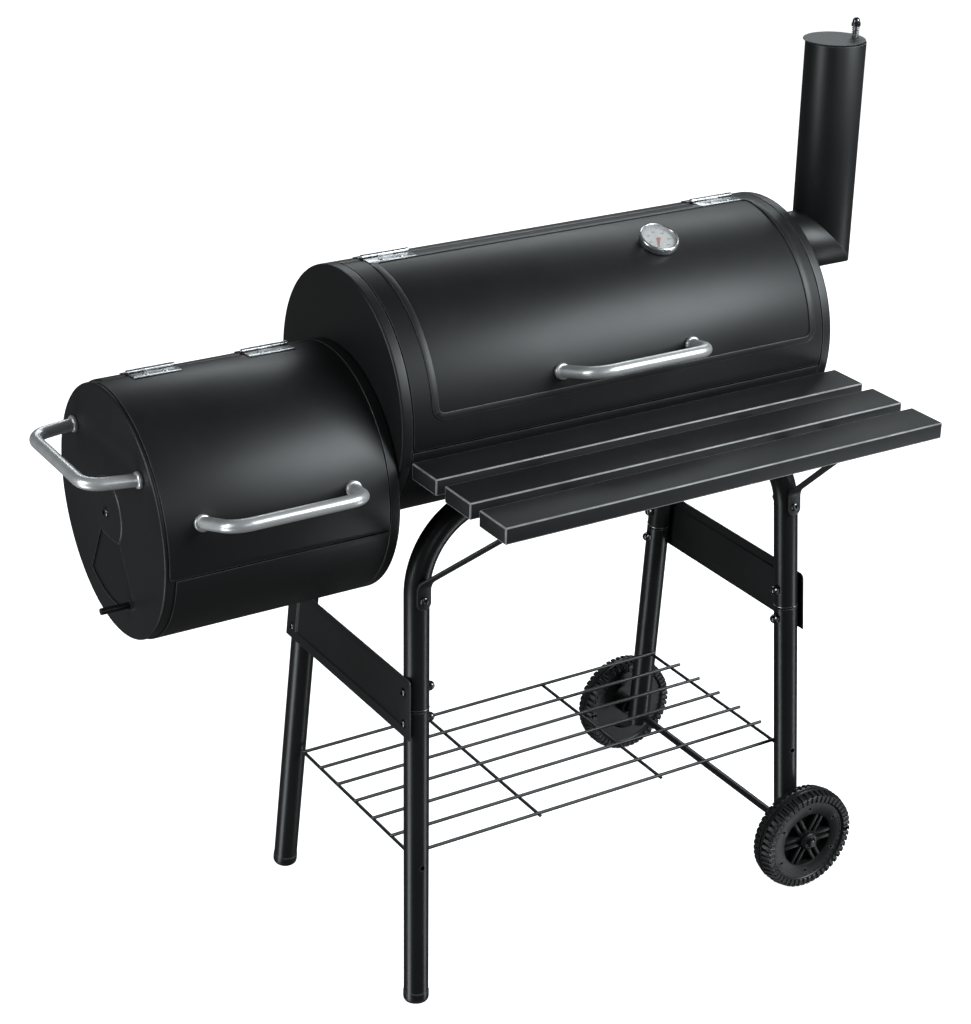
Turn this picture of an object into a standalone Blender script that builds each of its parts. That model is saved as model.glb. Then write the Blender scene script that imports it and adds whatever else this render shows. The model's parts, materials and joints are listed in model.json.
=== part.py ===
"""Offset smoker: barrel grill, side firebox, chimney, slatted shelf and a tubular stand on two wheels.

Metres, +Z up, the floor at z = 0. Front is -Y, the firebox is on the -X end.
Places are worked out from the barrel's middle, and everything hangs on one empty that centres
the whole smoker over the origin.
"""

import bpy
import bmesh
from math import cos, degrees, hypot, pi, radians, sin, sqrt, tan
from mathutils import Matrix, Vector

# ---------------------------------------------------------------- driving dimensions
wall = 0.0012            # sheet steel of drums, pipes and tubes
gap = 0.0003             # between pieces that touch
lap = 0.0005             # between a sheet and the lip it laps over
facet_deg = 7.5          # one flat of a rolled sheet
cap_steps = 36           # flats round an end cap
cut_past = 0.02          # how far a cutter runs past a sheet

barrel_radius = 0.150
barrel_length = 0.610
barrel_height = 0.751    # barrel axis above the floor
firebox_radius = 0.150
firebox_length = 0.2907
firebox_drop = 0.091     # firebox axis below the barrel axis
firebox_y = 0.0035       # and behind it

rim_band = 0.013         # visible rim of an end cap
rim_round = 0.003        # its rounded edge
lip_length = 0.018       # stepped-in lip that carries the sheets
lip_step = 0.0012        # the slope from the rim band down to the lip
lid_end_gap = 0.0016     # between a sheet's end and the rim band, past that slope
lid_corner = 0.010
lid_bottom_deg = -10.0   # front seam, below the horizontal through the axis
seam_deg = 0.35          # half of a seam, measured round the drum
main_pin_deg = 97.5      # hinge line, just behind the top
firebox_pin_deg = 101.5
smoke_port_radius = 0.055

hinge_inset = 0.071      # middle of a main hinge from the barrel's end
firebox_hinge_inset = 0.0665    # middle of a firebox hinge from its lid's end
leaf_width = 0.062
firebox_leaf_width = 0.058
leaf_deg = 8.6           # how far a leaf reaches round the drum
knuckle_radius = 0.0028
pin_radius = 0.0015
pin_play = 0.0004
pin_proud = 0.001        # pin past the knuckles at each end

handle_span = 0.185      # between its posts
handle_stand_off = 0.058
handle_radius = 0.0075
handle_bend = 0.026
collar_radius = 0.0098
collar_length = 0.005
lid_handle_deg = 13.5
side_handle_margin = 0.0306     # its posts from the firebox end's edge

thermo_x = 0.097
thermo_deg = 66.0
thermo_radius = 0.025
thermo_height = 0.014
thermo_rim = 0.0038
dial_depth = 0.0055      # case floor below the rim's top
dial_sheet = 0.0006
needle_lift = 0.0018     # needle above the case floor
needle_tail = 0.005
lens_lift = 0.0028
lens_thickness = 0.0008
probe_radius = 0.0035
probe_length = 0.055

chimney_radius = 0.0375
chimney_reach = 0.0576   # chimney axis past the barrel's end
chimney_length = 0.249   # its top above the stub's axis
flue_deg = 65.8          # where the stub meets the barrel's end
flue_rim_gap = 0.0028    # the stub inside the barrel's radius
damper_overhang = 0.001  # disc past the pipe
damper_sheet = 0.0015
damper_bolt_inset = 0.0075      # bolt inside the pipe's radius
damper_bolt_radius = 0.003
damper_bolt_foot = 0.010        # bolt below its tab
damper_rest_deg = 6.0    # the disc stands a little open
tab_drop = 0.010         # tab that carries the bolt, below the chimney's top
tab_thickness = 0.002
tab_past_bolt = 0.008
tab_half_width = 0.007
spring_length = 0.0125
spring_turns = 4
spring_wire = 0.0005
spring_radius = 0.0043

flap_pivot_behind = 0.0065      # pivot from the firebox axis
flap_pivot_drop = 0.0015
vent_rim = 0.036         # vent's arc inside the firebox's radius
vent_half_deg = 33.5     # its arc, to each side of straight down
vent_top = 0.031         # straight upper edge of the vent below the pivot
vent_top_half = 0.027
flap_lap = 0.005         # how far the flap laps past the vent
lever_deg = -23.0
lever_radius = 0.004
lever_length = 0.034
lever_rim = 0.0055       # lever inside the vent's arc
rivet_radius = 0.0025
rivet_head = 0.0015

tube_radius = 0.0155     # legs
tube_joint_height = 0.384
spigot_length = 0.035
spigot_shoulder = 0.0015
foot_floor = 0.006       # closed lower end of a leg
arch_bend = 0.108
arch_deg = 47.0          # where an arch touches the barrel, round from its lowest line
front_lean = 0.092       # outward lean of the legs, metres per metre
rear_lean = 0.098
left_leg_inset = 0.0339  # from the barrel's end, at the top of the arch
right_leg_inset = 0.0383
left_splay = 0.054       # how far they spread sideways on the way down, metres per metre
right_splay = 0.014

panel_bottom = 0.360
panel_height = 0.077
panel_band = 0.012
panel_step = 0.004
panel_sheet = 0.0015

rack_height = 0.190
rack_wire = 0.00225
rack_wires = 7
rack_cross_wires = 4
rack_overhang = 0.010    # inner long wires past the right legs
rack_front_gap = 0.0015  # outer long wires from the legs
rack_rear_gap = 0.006
rack_cross_inset = 0.004

wheel_radius = 0.072
wheel_width = 0.034
tread_depth = 0.015      # tyre band, outside the wheel's dished face
tyre_round = 0.003
hub_radius = 0.013
hub_length = 0.038
web_half = 0.005         # half the thickness of the wheel's dished web
axle_radius = 0.005
axle_proud = 0.006       # axle past the hubs
front_hub_gap = 0.002    # hub from the front leg
rear_hub_gap = 0.0056

slat_length = 0.6083
slat_shift = 0.00965     # the slats' middle to the right of the barrel's
slat_width = 0.055
slat_pitch = 0.0737
slat_thickness = 0.020
slat_edge = 0.0012
slats = 3
shelf_drop = 0.036       # top of the slats below the barrel axis
shelf_clearance = 0.0016        # rear slat from the barrel's radius

arm_inset = 0.155        # from the barrel's end
arm_width = 0.020
arm_thickness = 0.003
arm_front = 0.008        # arm's end behind the shelf's front
brace_width = 0.014
brace_thickness = 0.0025
brace_bend = 0.008
brace_top_inset = 0.077  # from the barrel's end
brace_top_run = 0.028    # flat run under the front slat
brace_front = 0.014      # that run's end behind the shelf's front
brace_foot_drop = 0.1197 # strap's foot below the arch's top
brace_foot_run = 0.032   # flat run up the leg

grate_thickness = 0.005
grate_bar = 0.006
grate_slot = 0.014
cooking_grate_drop = 0.0345     # its underside below the barrel axis
charcoal_grate_drop = 0.085
firebox_grate_drop = 0.070
grate_end_gap = 0.008

# ---------------------------------------------------------------- worked out from them
barrel_end = barrel_length / 2
sheet_end = barrel_end - rim_band - lid_end_gap
firebox_height = barrel_height - firebox_drop
firebox_right = -barrel_end - gap
firebox_left = firebox_right - firebox_length
firebox_lid_left = firebox_left + rim_round + lid_end_gap
firebox_sheet_right = firebox_right - rim_band - lid_end_gap
smoke_port = (firebox_y / 2, (barrel_height + firebox_height) / 2, smoke_port_radius)

side_handle_rise = sqrt((firebox_radius - side_handle_margin) ** 2 - (handle_span / 2) ** 2)
flap_pivot_y = firebox_y + flap_pivot_behind
flap_pivot_height = firebox_height - flap_pivot_drop
vent_radius = firebox_radius - vent_rim
lever_reach = vent_radius - lever_rim
rivet_hole = rivet_radius + gap

flue_offset = barrel_radius - flue_rim_gap - chimney_radius
chimney_x = barrel_end + chimney_reach
chimney_y = -flue_offset * cos(radians(flue_deg))
stub_height = barrel_height + flue_offset * sin(radians(flue_deg))
chimney_top = stub_height + chimney_length
damper_radius = chimney_radius + damper_overhang
damper_bolt_offset = chimney_radius - damper_bolt_inset

arch_offset = barrel_radius + 2 * gap + tube_radius
arch_y = arch_offset * sin(radians(arch_deg))
arch_height = barrel_height - arch_offset * cos(radians(arch_deg))
left_leg_x = left_leg_inset - barrel_end
right_leg_x = barrel_end - right_leg_inset
axle_fall = arch_height - wheel_radius
axle_bore = axle_radius + gap
wheel_x = right_leg_x + right_splay * axle_fall
front_wheel_y = -(arch_y + front_lean * axle_fall + tube_radius + front_hub_gap + hub_length / 2)
rear_wheel_y = arch_y + rear_lean * axle_fall + tube_radius + rear_hub_gap + hub_length / 2

shelf_height = barrel_height - shelf_drop
slat_under = shelf_height - slat_thickness
slat_left = slat_shift - slat_length / 2
slat_front = -(barrel_radius + shelf_clearance + (slats - 1) * slat_pitch + slat_width)
arm_x = barrel_end - arm_inset

left_reach = firebox_left - handle_stand_off - handle_radius
right_reach = chimney_x + damper_bolt_offset * (1 - cos(radians(damper_rest_deg))) + damper_radius
rear_reach = rear_wheel_y + hub_length / 2 + axle_proud
centre_x = (left_reach + right_reach) / 2
centre_y = (slat_front + rear_reach) / 2

# ---------------------------------------------------------------- scene and materials
for old in list(bpy.data.objects):
    bpy.data.objects.remove(old, do_unlink=True)

smoker = bpy.data.collections.new("offset_smoker")
cutters = bpy.data.collections.new("cutters")
for group in (smoker, cutters):
    bpy.context.scene.collection.children.link(group)

origin = bpy.data.objects.new("smoker_origin", None)
origin.location = (-centre_x, -centre_y, 0)
smoker.objects.link(origin)


def material(name, colour, roughness, metallic):
    made = bpy.data.materials.new(name)
    made.use_nodes = True
    shader = made.node_tree.nodes["Principled BSDF"]
    shader.inputs["Base Color"].default_value = (*colour, 1)
    shader.inputs["Roughness"].default_value = roughness
    shader.inputs["Metallic"].default_value = metallic
    return made


black_steel = material("black_steel", (0.018, 0.018, 0.020), 0.45, 0.0)
stainless = material("stainless", (0.72, 0.72, 0.73), 0.25, 1.0)
zinc = material("zinc", (0.66, 0.67, 0.69), 0.35, 1.0)
slat_paint = material("slat_paint", (0.020, 0.020, 0.021), 0.50, 0.0)
black_plastic = material("black_plastic", (0.012, 0.012, 0.013), 0.55, 0.0)
grate_steel = material("grate_steel", (0.45, 0.45, 0.46), 0.35, 1.0)
dial_white = material("dial_white", (0.80, 0.80, 0.78), 0.50, 0.0)
needle_red = material("needle_red", (0.70, 0.03, 0.02), 0.40, 0.0)
clear_glass = material("clear_glass", (0.95, 0.97, 0.97), 0.05, 0.0)


# ---------------------------------------------------------------- modelling helpers
def new_object(name, data, finish=None, place=(0, 0, 0), turn=None, cutter=False):
    """An object in the smoker's collection, or a hidden tool for a Boolean."""
    made = bpy.data.objects.new(name, data)
    made.location = place
    if turn is not None:
        made.rotation_euler = turn.to_euler()
    if finish is not None:
        data.materials.append(finish)
    made.parent = origin
    if cutter:
        made.hide_render = True
        made.display_type = "WIRE"
        cutters.objects.link(made)
    else:
        smoker.objects.link(made)
    return made


def finish_mesh(name, bm):
    mesh = bpy.data.meshes.new(name)
    bm.to_mesh(mesh)
    bm.free()
    mesh.shade_smooth()
    mesh.set_sharp_from_angle(angle=radians(30))
    return mesh


def facing(direction):
    """The turn that takes local +Z to a direction, local Y staying as near upright as it can."""
    direction = Vector(direction)
    if direction.normalized().z > 0.9999:
        return Matrix.Identity(3).to_quaternion()
    return direction.to_track_quat("Z", "Y")


def box(name, low, high, finish=None, bevel=0.0, cutter=False):
    low, high = Vector(low), Vector(high)
    bm = bmesh.new()
    bmesh.ops.create_cube(bm, size=1)
    bmesh.ops.scale(bm, vec=high - low, verts=bm.verts)
    made = new_object(name, finish_mesh(name, bm), finish, (low + high) / 2, cutter=cutter)
    if bevel:
        rounded = made.modifiers.new("edges", "BEVEL")
        rounded.width = bevel
        rounded.segments = 2
    return made


def rod(name, start, end, radius, finish=None, sides=16, start_plane=None, end_plane=None, cutter=False):
    """A round bar between two points; a plane (point, normal) trims an end on the slant."""
    start, end = Vector(start), Vector(end)
    along = (end - start).normalized()
    bm = bmesh.new()
    bmesh.ops.create_cone(bm, cap_ends=True, segments=sides, radius1=radius, radius2=radius,
                          depth=(end - start).length)
    bmesh.ops.rotate(bm, matrix=facing(along).to_matrix(), verts=bm.verts)
    middle = (start + end) / 2
    bmesh.ops.translate(bm, vec=middle, verts=bm.verts)
    for corner in bm.verts:
        trim = end_plane if (corner.co - middle).dot(along) > 0 else start_plane
        if trim:
            point, normal = Vector(trim[0]), Vector(trim[1])
            corner.co += along * ((point - corner.co).dot(normal) / along.dot(normal))
    bmesh.ops.translate(bm, vec=-start, verts=bm.verts)
    return new_object(name, finish_mesh(name, bm), finish, start, cutter=cutter)


def boolean(target, tool, operation="DIFFERENCE"):
    step = target.modifiers.new(tool.name, "BOOLEAN")
    step.object = tool
    step.operation = operation
    step.solver = "EXACT"


def pipe(name, start, end, radius, thickness, finish, start_plane=None, end_plane=None, sides=28, floor=0.0):
    """A tube: a bar with a bore. With a floor, the bore is blind and stops short of the start."""
    start, end = Vector(start), Vector(end)
    along = (end - start).normalized()
    made = rod(name, start, end, radius, finish, sides, start_plane, end_plane)
    bore_start = start + along * floor if floor else start - along * 3 * radius
    bore = rod(name + "_bore", bore_start, end + along * 3 * radius, radius - thickness, None, sides,
               cutter=True)
    boolean(made, bore)
    return made


def turned(name, profile, place, axis, finish=None, steps=32, closed=False, shell=0.0, cutter=False):
    """A turned piece: (radius, height) points, down the outer side, turned about local Z."""
    bm = bmesh.new()
    ring = [bm.verts.new((radius, 0, height)) for radius, height in profile]
    for first, second in zip(ring, ring[1:]):
        bm.edges.new((first, second))
    if closed:
        bm.edges.new((ring[-1], ring[0]))
    mesh = bpy.data.meshes.new(name)
    bm.to_mesh(mesh)
    bm.free()
    made = new_object(name, mesh, finish, place, facing(axis), cutter)
    turn = made.modifiers.new("turn", "SCREW")
    turn.angle = 2 * pi
    turn.steps = steps
    turn.render_steps = steps
    turn.use_merge_vertices = True
    turn.merge_threshold = 0.00001
    if shell:
        skin = made.modifiers.new("sheet", "SOLIDIFY")
        skin.thickness = shell
        skin.offset = -1
        skin.use_even_offset = True
    return made


def outline_plate(name, loops, thickness, place, axis, finish=None, cutter=False):
    """A flat plate with any holes: 2D outlines, filled and extruded about its middle, as a mesh."""
    curve = bpy.data.curves.new(name, "CURVE")
    curve.dimensions = "2D"
    curve.fill_mode = "BOTH"
    curve.extrude = thickness / 2
    for loop in loops:
        line = curve.splines.new("POLY")
        line.points.add(len(loop) - 1)
        for point, (across, up) in zip(line.points, loop):
            point.co = (across, up, 0, 1)
        line.use_cyclic_u = True
    return curve_to_mesh(name, curve, finish, place, facing(axis), cutter)


def curve_to_mesh(name, curve, finish, place=(0, 0, 0), turn=None, cutter=False):
    drawn = new_object(name + "_curve", curve)
    bpy.context.view_layer.update()
    seen = drawn.evaluated_get(bpy.context.evaluated_depsgraph_get())
    mesh = bpy.data.meshes.new_from_object(seen)
    bpy.data.objects.remove(drawn, do_unlink=True)
    bm = bmesh.new()
    bm.from_mesh(mesh)
    bmesh.ops.remove_doubles(bm, verts=bm.verts, dist=0.00001)
    bpy.data.meshes.remove(mesh)
    return new_object(name, finish_mesh(name, bm), finish, place, turn, cutter)


def circle(radius, steps, across=0.0, up=0.0):
    turns = [2 * pi * step / steps for step in range(steps)]
    return [(across + radius * cos(turn), up + radius * sin(turn)) for turn in turns]


def bent_tube(name, points, radius, finish, factors=None, resolution=4, caps=True, place=(0, 0, 0)):
    """A tube along points; factors scale its radius from point to point."""
    curve = bpy.data.curves.new(name, "CURVE")
    curve.dimensions = "3D"
    curve.bevel_depth = radius
    curve.bevel_resolution = resolution
    curve.use_fill_caps = caps
    line = curve.splines.new("POLY")
    line.points.add(len(points) - 1)
    for index, point in enumerate(points):
        line.points[index].co = (*(Vector(point) - Vector(place)), 1)
        line.points[index].radius = factors[index] if factors else 1
    return curve_to_mesh(name, curve, finish, place)


def rounded_path(corners, bend, steps=6):
    """Straight runs joined by arcs of one bend radius."""
    corners = [Vector(corner) for corner in corners]
    path = [corners[0]]
    for before, corner, after in zip(corners, corners[1:], corners[2:]):
        back = (before - corner).normalized()
        ahead = (after - corner).normalized()
        half = back.angle(ahead) / 2
        reach = bend / tan(half)
        inward = (back + ahead).normalized()
        centre = corner + inward * bend / sin(half)
        first, last = corner + back * reach - centre, corner + ahead * reach - centre
        sweep = first.angle(last)
        for step in range(steps + 1):
            share = step / steps
            turned_by = first * sin((1 - share) * sweep) + last * sin(share * sweep)
            path.append(centre + turned_by / sin(sweep))
    path.append(corners[-1])
    return path


def drum_point(axis_y, axis_z, x, radius, degrees_up):
    """A point round a drum: 0 degrees faces the front, 90 is the top."""
    turn = radians(degrees_up)
    return Vector((x, axis_y - radius * cos(turn), axis_z + radius * sin(turn)))


def drum_sheet(name, axis_y, axis_z, radius, x_range, deg_range, finish, thickness=wall, corner=0.0,
               origin_at=(0, 0, 0), cutter=False):
    """A sheet rolled round a drum's axis; corner rounds its two lower corners."""
    steps = max(1, round((deg_range[1] - deg_range[0]) / facet_deg))
    shares = [row / steps for row in range(steps + 1)]
    sweep = radians(deg_range[1] - deg_range[0])
    if corner:
        rounded = [corner * (1 - cos(radians(turn))) / (sweep * radius) for turn in (30, 60, 90)]
        shares = [0.0] + rounded + [share for share in shares if share > rounded[-1] * 1.05]
    bm = bmesh.new()
    bmesh.ops.create_grid(bm, x_segments=1, y_segments=len(shares) - 1, size=1)
    middle, half = sum(x_range) / 2, (x_range[1] - x_range[0]) / 2
    for vertex in bm.verts:
        share = shares[round((vertex.co.y + 1) / 2 * (len(shares) - 1))]
        from_edge = share * sweep * radius
        left_over = max(0.0, corner - from_edge)
        inset = corner - sqrt(corner ** 2 - left_over ** 2)
        angle = deg_range[0] + degrees(sweep) * share
        x = middle + vertex.co.x * (half - inset)
        vertex.co = drum_point(axis_y, axis_z, x, radius, angle) - Vector(origin_at)
    made = new_object(name, finish_mesh(name, bm), finish, origin_at, cutter=cutter)
    skin = made.modifiers.new("sheet", "SOLIDIFY")
    skin.thickness = thickness
    skin.offset = -1
    return made


# ---------------------------------------------------------------- drums: ends, bodies and lids
def end_cap(name, x, out, axis_y, axis_z, radius, band, port=None):
    """A pressed end: flat disc, rounded rim band, and a lip stepped in under the sheets."""
    lip = radius - wall - lap
    edge = radius if band else lip
    start = edge - rim_round
    profile = [(0, 0)]
    for turn in (0, 45, 90):
        profile.append((start + rim_round * sin(radians(turn)), -rim_round * (1 - cos(radians(turn)))))
    if band:
        profile += [(edge, -rim_band), (lip, -rim_band - lip_step)]
    profile.append((lip, -rim_band - lip_length))
    cap = turned(name, profile, (x, axis_y, axis_z), (out, 0, 0), black_steel, steps=cap_steps,
                 shell=wall)
    if port:
        port_y, port_z, port_radius = port
        boolean(cap, rod(name + "_port", (x - cut_past, port_y, port_z), (x + cut_past, port_y, port_z),
                         port_radius, None, 32, cutter=True))
    return cap


def main_barrel():
    flue = (chimney_y, stub_height, chimney_radius - 3 * wall)
    end_cap("barrel_end_left", -barrel_end, -1, 0, barrel_height, barrel_radius, True, smoke_port)
    end_cap("barrel_end_right", barrel_end, 1, 0, barrel_height, barrel_radius, True, flue)
    drum_sheet("barrel_body", 0, barrel_height, barrel_radius, (-sheet_end, sheet_end),
               (main_pin_deg + seam_deg, 360 + lid_bottom_deg - 2 * seam_deg), black_steel)
    lid = drum_sheet("main_lid", 0, barrel_height, barrel_radius, (-sheet_end, sheet_end),
                     (lid_bottom_deg, main_pin_deg - seam_deg), black_steel, corner=lid_corner,
                     origin_at=pin_place(0, barrel_height, barrel_radius, main_pin_deg, 0))
    inside, outside = (drum_point(0, barrel_height, thermo_x, barrel_radius + past, thermo_deg)
                       for past in (-cut_past, cut_past))
    boolean(lid, rod("probe_hole", inside, outside, probe_radius + 2 * gap, None, 16, cutter=True))


def firebox():
    end_cap("firebox_end_right", firebox_right, 1, firebox_y, firebox_height, firebox_radius, True,
            smoke_port)
    left = end_cap("firebox_end_left", firebox_left, -1, firebox_y, firebox_height, firebox_radius, False)
    boolean(left, vent_cutter())
    boolean(left, rod("rivet_hole", (firebox_left - cut_past, flap_pivot_y, flap_pivot_height),
                      (firebox_left + cut_past, flap_pivot_y, flap_pivot_height), rivet_hole, None, 16,
                      cutter=True))
    drum_sheet("firebox_body", firebox_y, firebox_height, firebox_radius,
               (firebox_left + rim_band, firebox_sheet_right),
               (firebox_pin_deg + seam_deg, 360 + lid_bottom_deg - 2 * seam_deg), black_steel)
    drum_sheet("firebox_lid", firebox_y, firebox_height, firebox_radius,
               (firebox_lid_left, firebox_sheet_right),
               (lid_bottom_deg, firebox_pin_deg - seam_deg), black_steel, corner=lid_corner / 2,
               origin_at=pin_place(firebox_y, firebox_height, firebox_radius, firebox_pin_deg, 0))


# ---------------------------------------------------------------- hinges
def pin_place(axis_y, axis_z, radius, pin_deg, x):
    return drum_point(axis_y, axis_z, x, radius + gap + knuckle_radius, pin_deg)


def hinge(lid_name, side, axis_y, axis_z, radius, pin_deg, x, width):
    """A butt hinge lying round a drum: lid leaf with the middle knuckle, body leaf with the outer two."""
    pin = pin_place(axis_y, axis_z, radius, pin_deg, x)
    clear_deg = degrees((knuckle_radius + 2 * gap) / radius)
    third = width / 3
    zones = {"lid": [(-third / 2, third / 2)],
             "body": [(-width / 2, -third / 2 - gap), (third / 2 + gap, width / 2)]}
    away = {"lid": -1, "body": 1}
    for leaf, knuckles in zones.items():
        name = f"{lid_name}_hinge_{leaf}_leaf_{side}"
        near = pin_deg + away[leaf] * clear_deg
        far = pin_deg + away[leaf] * leaf_deg
        plate = drum_sheet(name, axis_y, axis_z, radius + gap + wall, (x - width / 2, x + width / 2),
                           (min(near, far), max(near, far)), zinc, origin_at=pin)
        for number, (left, right) in enumerate(knuckles):
            reach = sorted((0, away[leaf] * 2 * knuckle_radius))
            tongue = box(f"{name}_tongue_{number}", (left, reach[0], -knuckle_radius),
                         (right, reach[1], -knuckle_radius + wall * 0.9), cutter=True)
            tilt = Matrix.Rotation(-radians(pin_deg - 90), 4, "X")
            tongue.matrix_local = Matrix.Translation(pin) @ tilt @ Matrix.Translation(tongue.location)
            barrel = rod(f"{name}_knuckle_{number}", pin + Vector((left, 0, 0)), pin + Vector((right, 0, 0)),
                         knuckle_radius, None, 12, cutter=True)
            boolean(plate, tongue, "UNION")
            boolean(plate, barrel, "UNION")
        reach = Vector((width, 0, 0))
        boolean(plate, rod(name + "_pin_hole", pin - reach, pin + reach, pin_radius + pin_play, None, 12,
                           cutter=True))
    ends = Vector((width / 2 + pin_proud, 0, 0))
    rod(f"{lid_name}_hinge_pin_{side}", pin - ends, pin + ends, pin_radius, zinc, 10)


def hinges():
    main_reach = barrel_end - hinge_inset
    firebox_places = {"left": firebox_left + rim_round + firebox_hinge_inset,
                      "right": firebox_right - rim_band - firebox_hinge_inset}
    for side, sign in (("left", -1), ("right", 1)):
        hinge("main", side, 0, barrel_height, barrel_radius, main_pin_deg, sign * main_reach, leaf_width)
        hinge("firebox", side, firebox_y, firebox_height, firebox_radius, firebox_pin_deg,
              firebox_places[side], firebox_leaf_width)


# ---------------------------------------------------------------- handles
def handle(name, middle, along, outward):
    """A bent bar with a collar round each post, standing off a surface."""
    middle, along, outward = Vector(middle), Vector(along), Vector(outward)
    feet = [middle + along * (sign * handle_span / 2) + outward * gap for sign in (-1, 1)]
    raised = [foot + outward * handle_stand_off for foot in feet]
    path = rounded_path([feet[0] + outward * (collar_length + gap), raised[0], raised[1],
                         feet[1] + outward * (collar_length + gap)], handle_bend)
    path = [feet[0], feet[0] + outward * collar_length] + path
    path += [feet[1] + outward * collar_length, feet[1]]
    collar = collar_radius / handle_radius
    factors = [collar, collar] + [1] * (len(path) - 4) + [collar, collar]
    return bent_tube(name, path, handle_radius, stainless, factors, resolution=3, place=middle)


def handles():
    turn = radians(lid_handle_deg)
    outward = (0, -cos(turn), sin(turn))
    handle("main_lid_handle", drum_point(0, barrel_height, 0, barrel_radius, lid_handle_deg), (1, 0, 0),
           outward)
    lid_middle = (firebox_left + firebox_right - rim_band) / 2
    handle("firebox_lid_handle",
           drum_point(firebox_y, firebox_height, lid_middle, firebox_radius, lid_handle_deg), (1, 0, 0),
           outward)
    handle("firebox_side_handle", (firebox_left, firebox_y, firebox_height + side_handle_rise), (0, 1, 0),
           (-1, 0, 0))


# ---------------------------------------------------------------- thermometer
def thermometer():
    turn = radians(thermo_deg)
    outward = Vector((0, -cos(turn), sin(turn)))
    base = drum_point(0, barrel_height, thermo_x, barrel_radius + gap, thermo_deg)
    inner = thermo_radius - thermo_rim
    floor = thermo_height - dial_depth
    turned("thermometer_case", [(0, floor), (inner, floor), (inner, thermo_height - 0.0012),
                                (inner + 0.0013, thermo_height), (thermo_radius - 0.001, thermo_height),
                                (thermo_radius, thermo_height - 0.0015), (thermo_radius, 0.004),
                                (thermo_radius - 0.0015, 0.002), (thermo_radius - 0.0015, 0), (0, 0)],
           base, outward, stainless, steps=24)
    disc = inner - 2 * gap
    turned("thermometer_dial", [(0, dial_sheet), (disc, dial_sheet), (disc, 0), (0, 0)],
           base + outward * (floor + gap), outward, dial_white, steps=24)
    tip = -inner * 0.75
    pointer = [(0.0011, needle_tail), (-0.0011, needle_tail), (-0.0019, 0), (-0.0006, tip), (0.0006, tip),
               (0.0019, 0)]
    outline_plate("thermometer_needle", [pointer], dial_sheet, base + outward * (floor + needle_lift),
                  outward, needle_red)
    turned("thermometer_lens", [(0, lens_thickness), (disc, lens_thickness), (disc, 0), (0, 0)],
           base + outward * (floor + lens_lift), outward, clear_glass, steps=24)
    rod("thermometer_probe", base - outward * probe_length, base - outward * gap, probe_radius, stainless, 12)


# ---------------------------------------------------------------- chimney and its damper
def chimney():
    mitre_middle = Vector((chimney_x, chimney_y, stub_height))
    slant = Vector((1, 0, 1)).normalized()
    pipe("chimney_stub", (barrel_end + gap, chimney_y, stub_height), mitre_middle, chimney_radius, wall,
         black_steel, end_plane=(mitre_middle - slant * gap / 2, slant))
    upright = pipe("chimney_pipe", mitre_middle, (chimney_x, chimney_y, chimney_top), chimney_radius, wall,
                   black_steel, start_plane=(mitre_middle + slant * gap / 2, slant))
    bolt_x = chimney_x + damper_bolt_offset
    tab_top = chimney_top - tab_drop
    tab = box("damper_tab", (bolt_x - tab_past_bolt, chimney_y - tab_half_width, tab_top - tab_thickness),
              (chimney_x + chimney_radius - 0.7 * wall, chimney_y + tab_half_width, tab_top), cutter=True)
    boolean(upright, tab, "UNION")
    foot = Vector((bolt_x, chimney_y, tab_top - damper_bolt_foot))
    over = Vector((bolt_x, chimney_y, chimney_top + cut_past))
    hole_radius = damper_bolt_radius + 2 * gap
    boolean(upright, rod("tab_hole", foot, over, hole_radius, None, 16, cutter=True))
    disc_top = chimney_damper(bolt_x, hole_radius)
    damper_fastening(foot, disc_top)


def chimney_damper(bolt_x, hole_radius):
    """The disc on top of the pipe, turning about its bolt; returns the height of its upper face."""
    base = chimney_top + gap
    sway = radians(180 - damper_rest_deg)
    rim = circle(damper_radius, 48, damper_bolt_offset * cos(sway), damper_bolt_offset * sin(sway))
    outline_plate("chimney_damper", [rim, circle(hole_radius, 16)], damper_sheet,
                  (bolt_x, chimney_y, base + damper_sheet / 2), (0, 0, 1), black_steel)
    return base + damper_sheet


def damper_fastening(foot, disc_top):
    """The damper's bolt, the spring that presses on the disc, and the acorn nut over it."""
    nut_base = disc_top + spring_length
    thread = damper_bolt_radius + gap
    bore_top = 0.0046
    rod("damper_bolt", foot, (foot.x, foot.y, nut_base + bore_top - 2 * gap), damper_bolt_radius, zinc, 12)
    dome = [(0, 0.0110), (0.0022, 0.0105), (0.0040, 0.0088), (0.0048, 0.0062), (0.0056, 0.0055), (0.0056, 0)]
    turned("damper_acorn_nut", dome + [(thread, 0), (thread, bore_top), (0, bore_top)],
           (foot.x, foot.y, nut_base), (0, 0, 1), zinc, steps=12)
    rise = spring_length - 2 * (spring_wire + gap)
    turns = [2 * pi * step / 8 for step in range(spring_turns * 8 + 1)]
    helix = [(foot.x + spring_radius * cos(turn), foot.y + spring_radius * sin(turn),
              disc_top + gap + spring_wire + rise * turn / turns[-1]) for turn in turns]
    bent_tube("damper_spring", helix, spring_wire, zinc, resolution=1, place=(foot.x, foot.y, disc_top))


# ---------------------------------------------------------------- air damper in the firebox end
def fan(half_deg, radius):
    """The lower arc of a fan about the pivot; local y is up and local x the front."""
    turns = [radians(-half_deg + 2 * half_deg * step / 12) for step in range(13)]
    return [(radius * sin(turn), -radius * cos(turn)) for turn in turns]


def end_view(loop, place, thickness, name, finish=None, cutter=False):
    """A plate drawn as the firebox's end is seen: across is towards the front, up is up."""
    made = outline_plate(name, loop, thickness, place, (0, 0, 1), finish, cutter)
    view = Matrix(((0, 0, -1), (-1, 0, 0), (0, 1, 0))).to_4x4()
    made.matrix_local = Matrix.Translation(place) @ view
    return made


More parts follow.
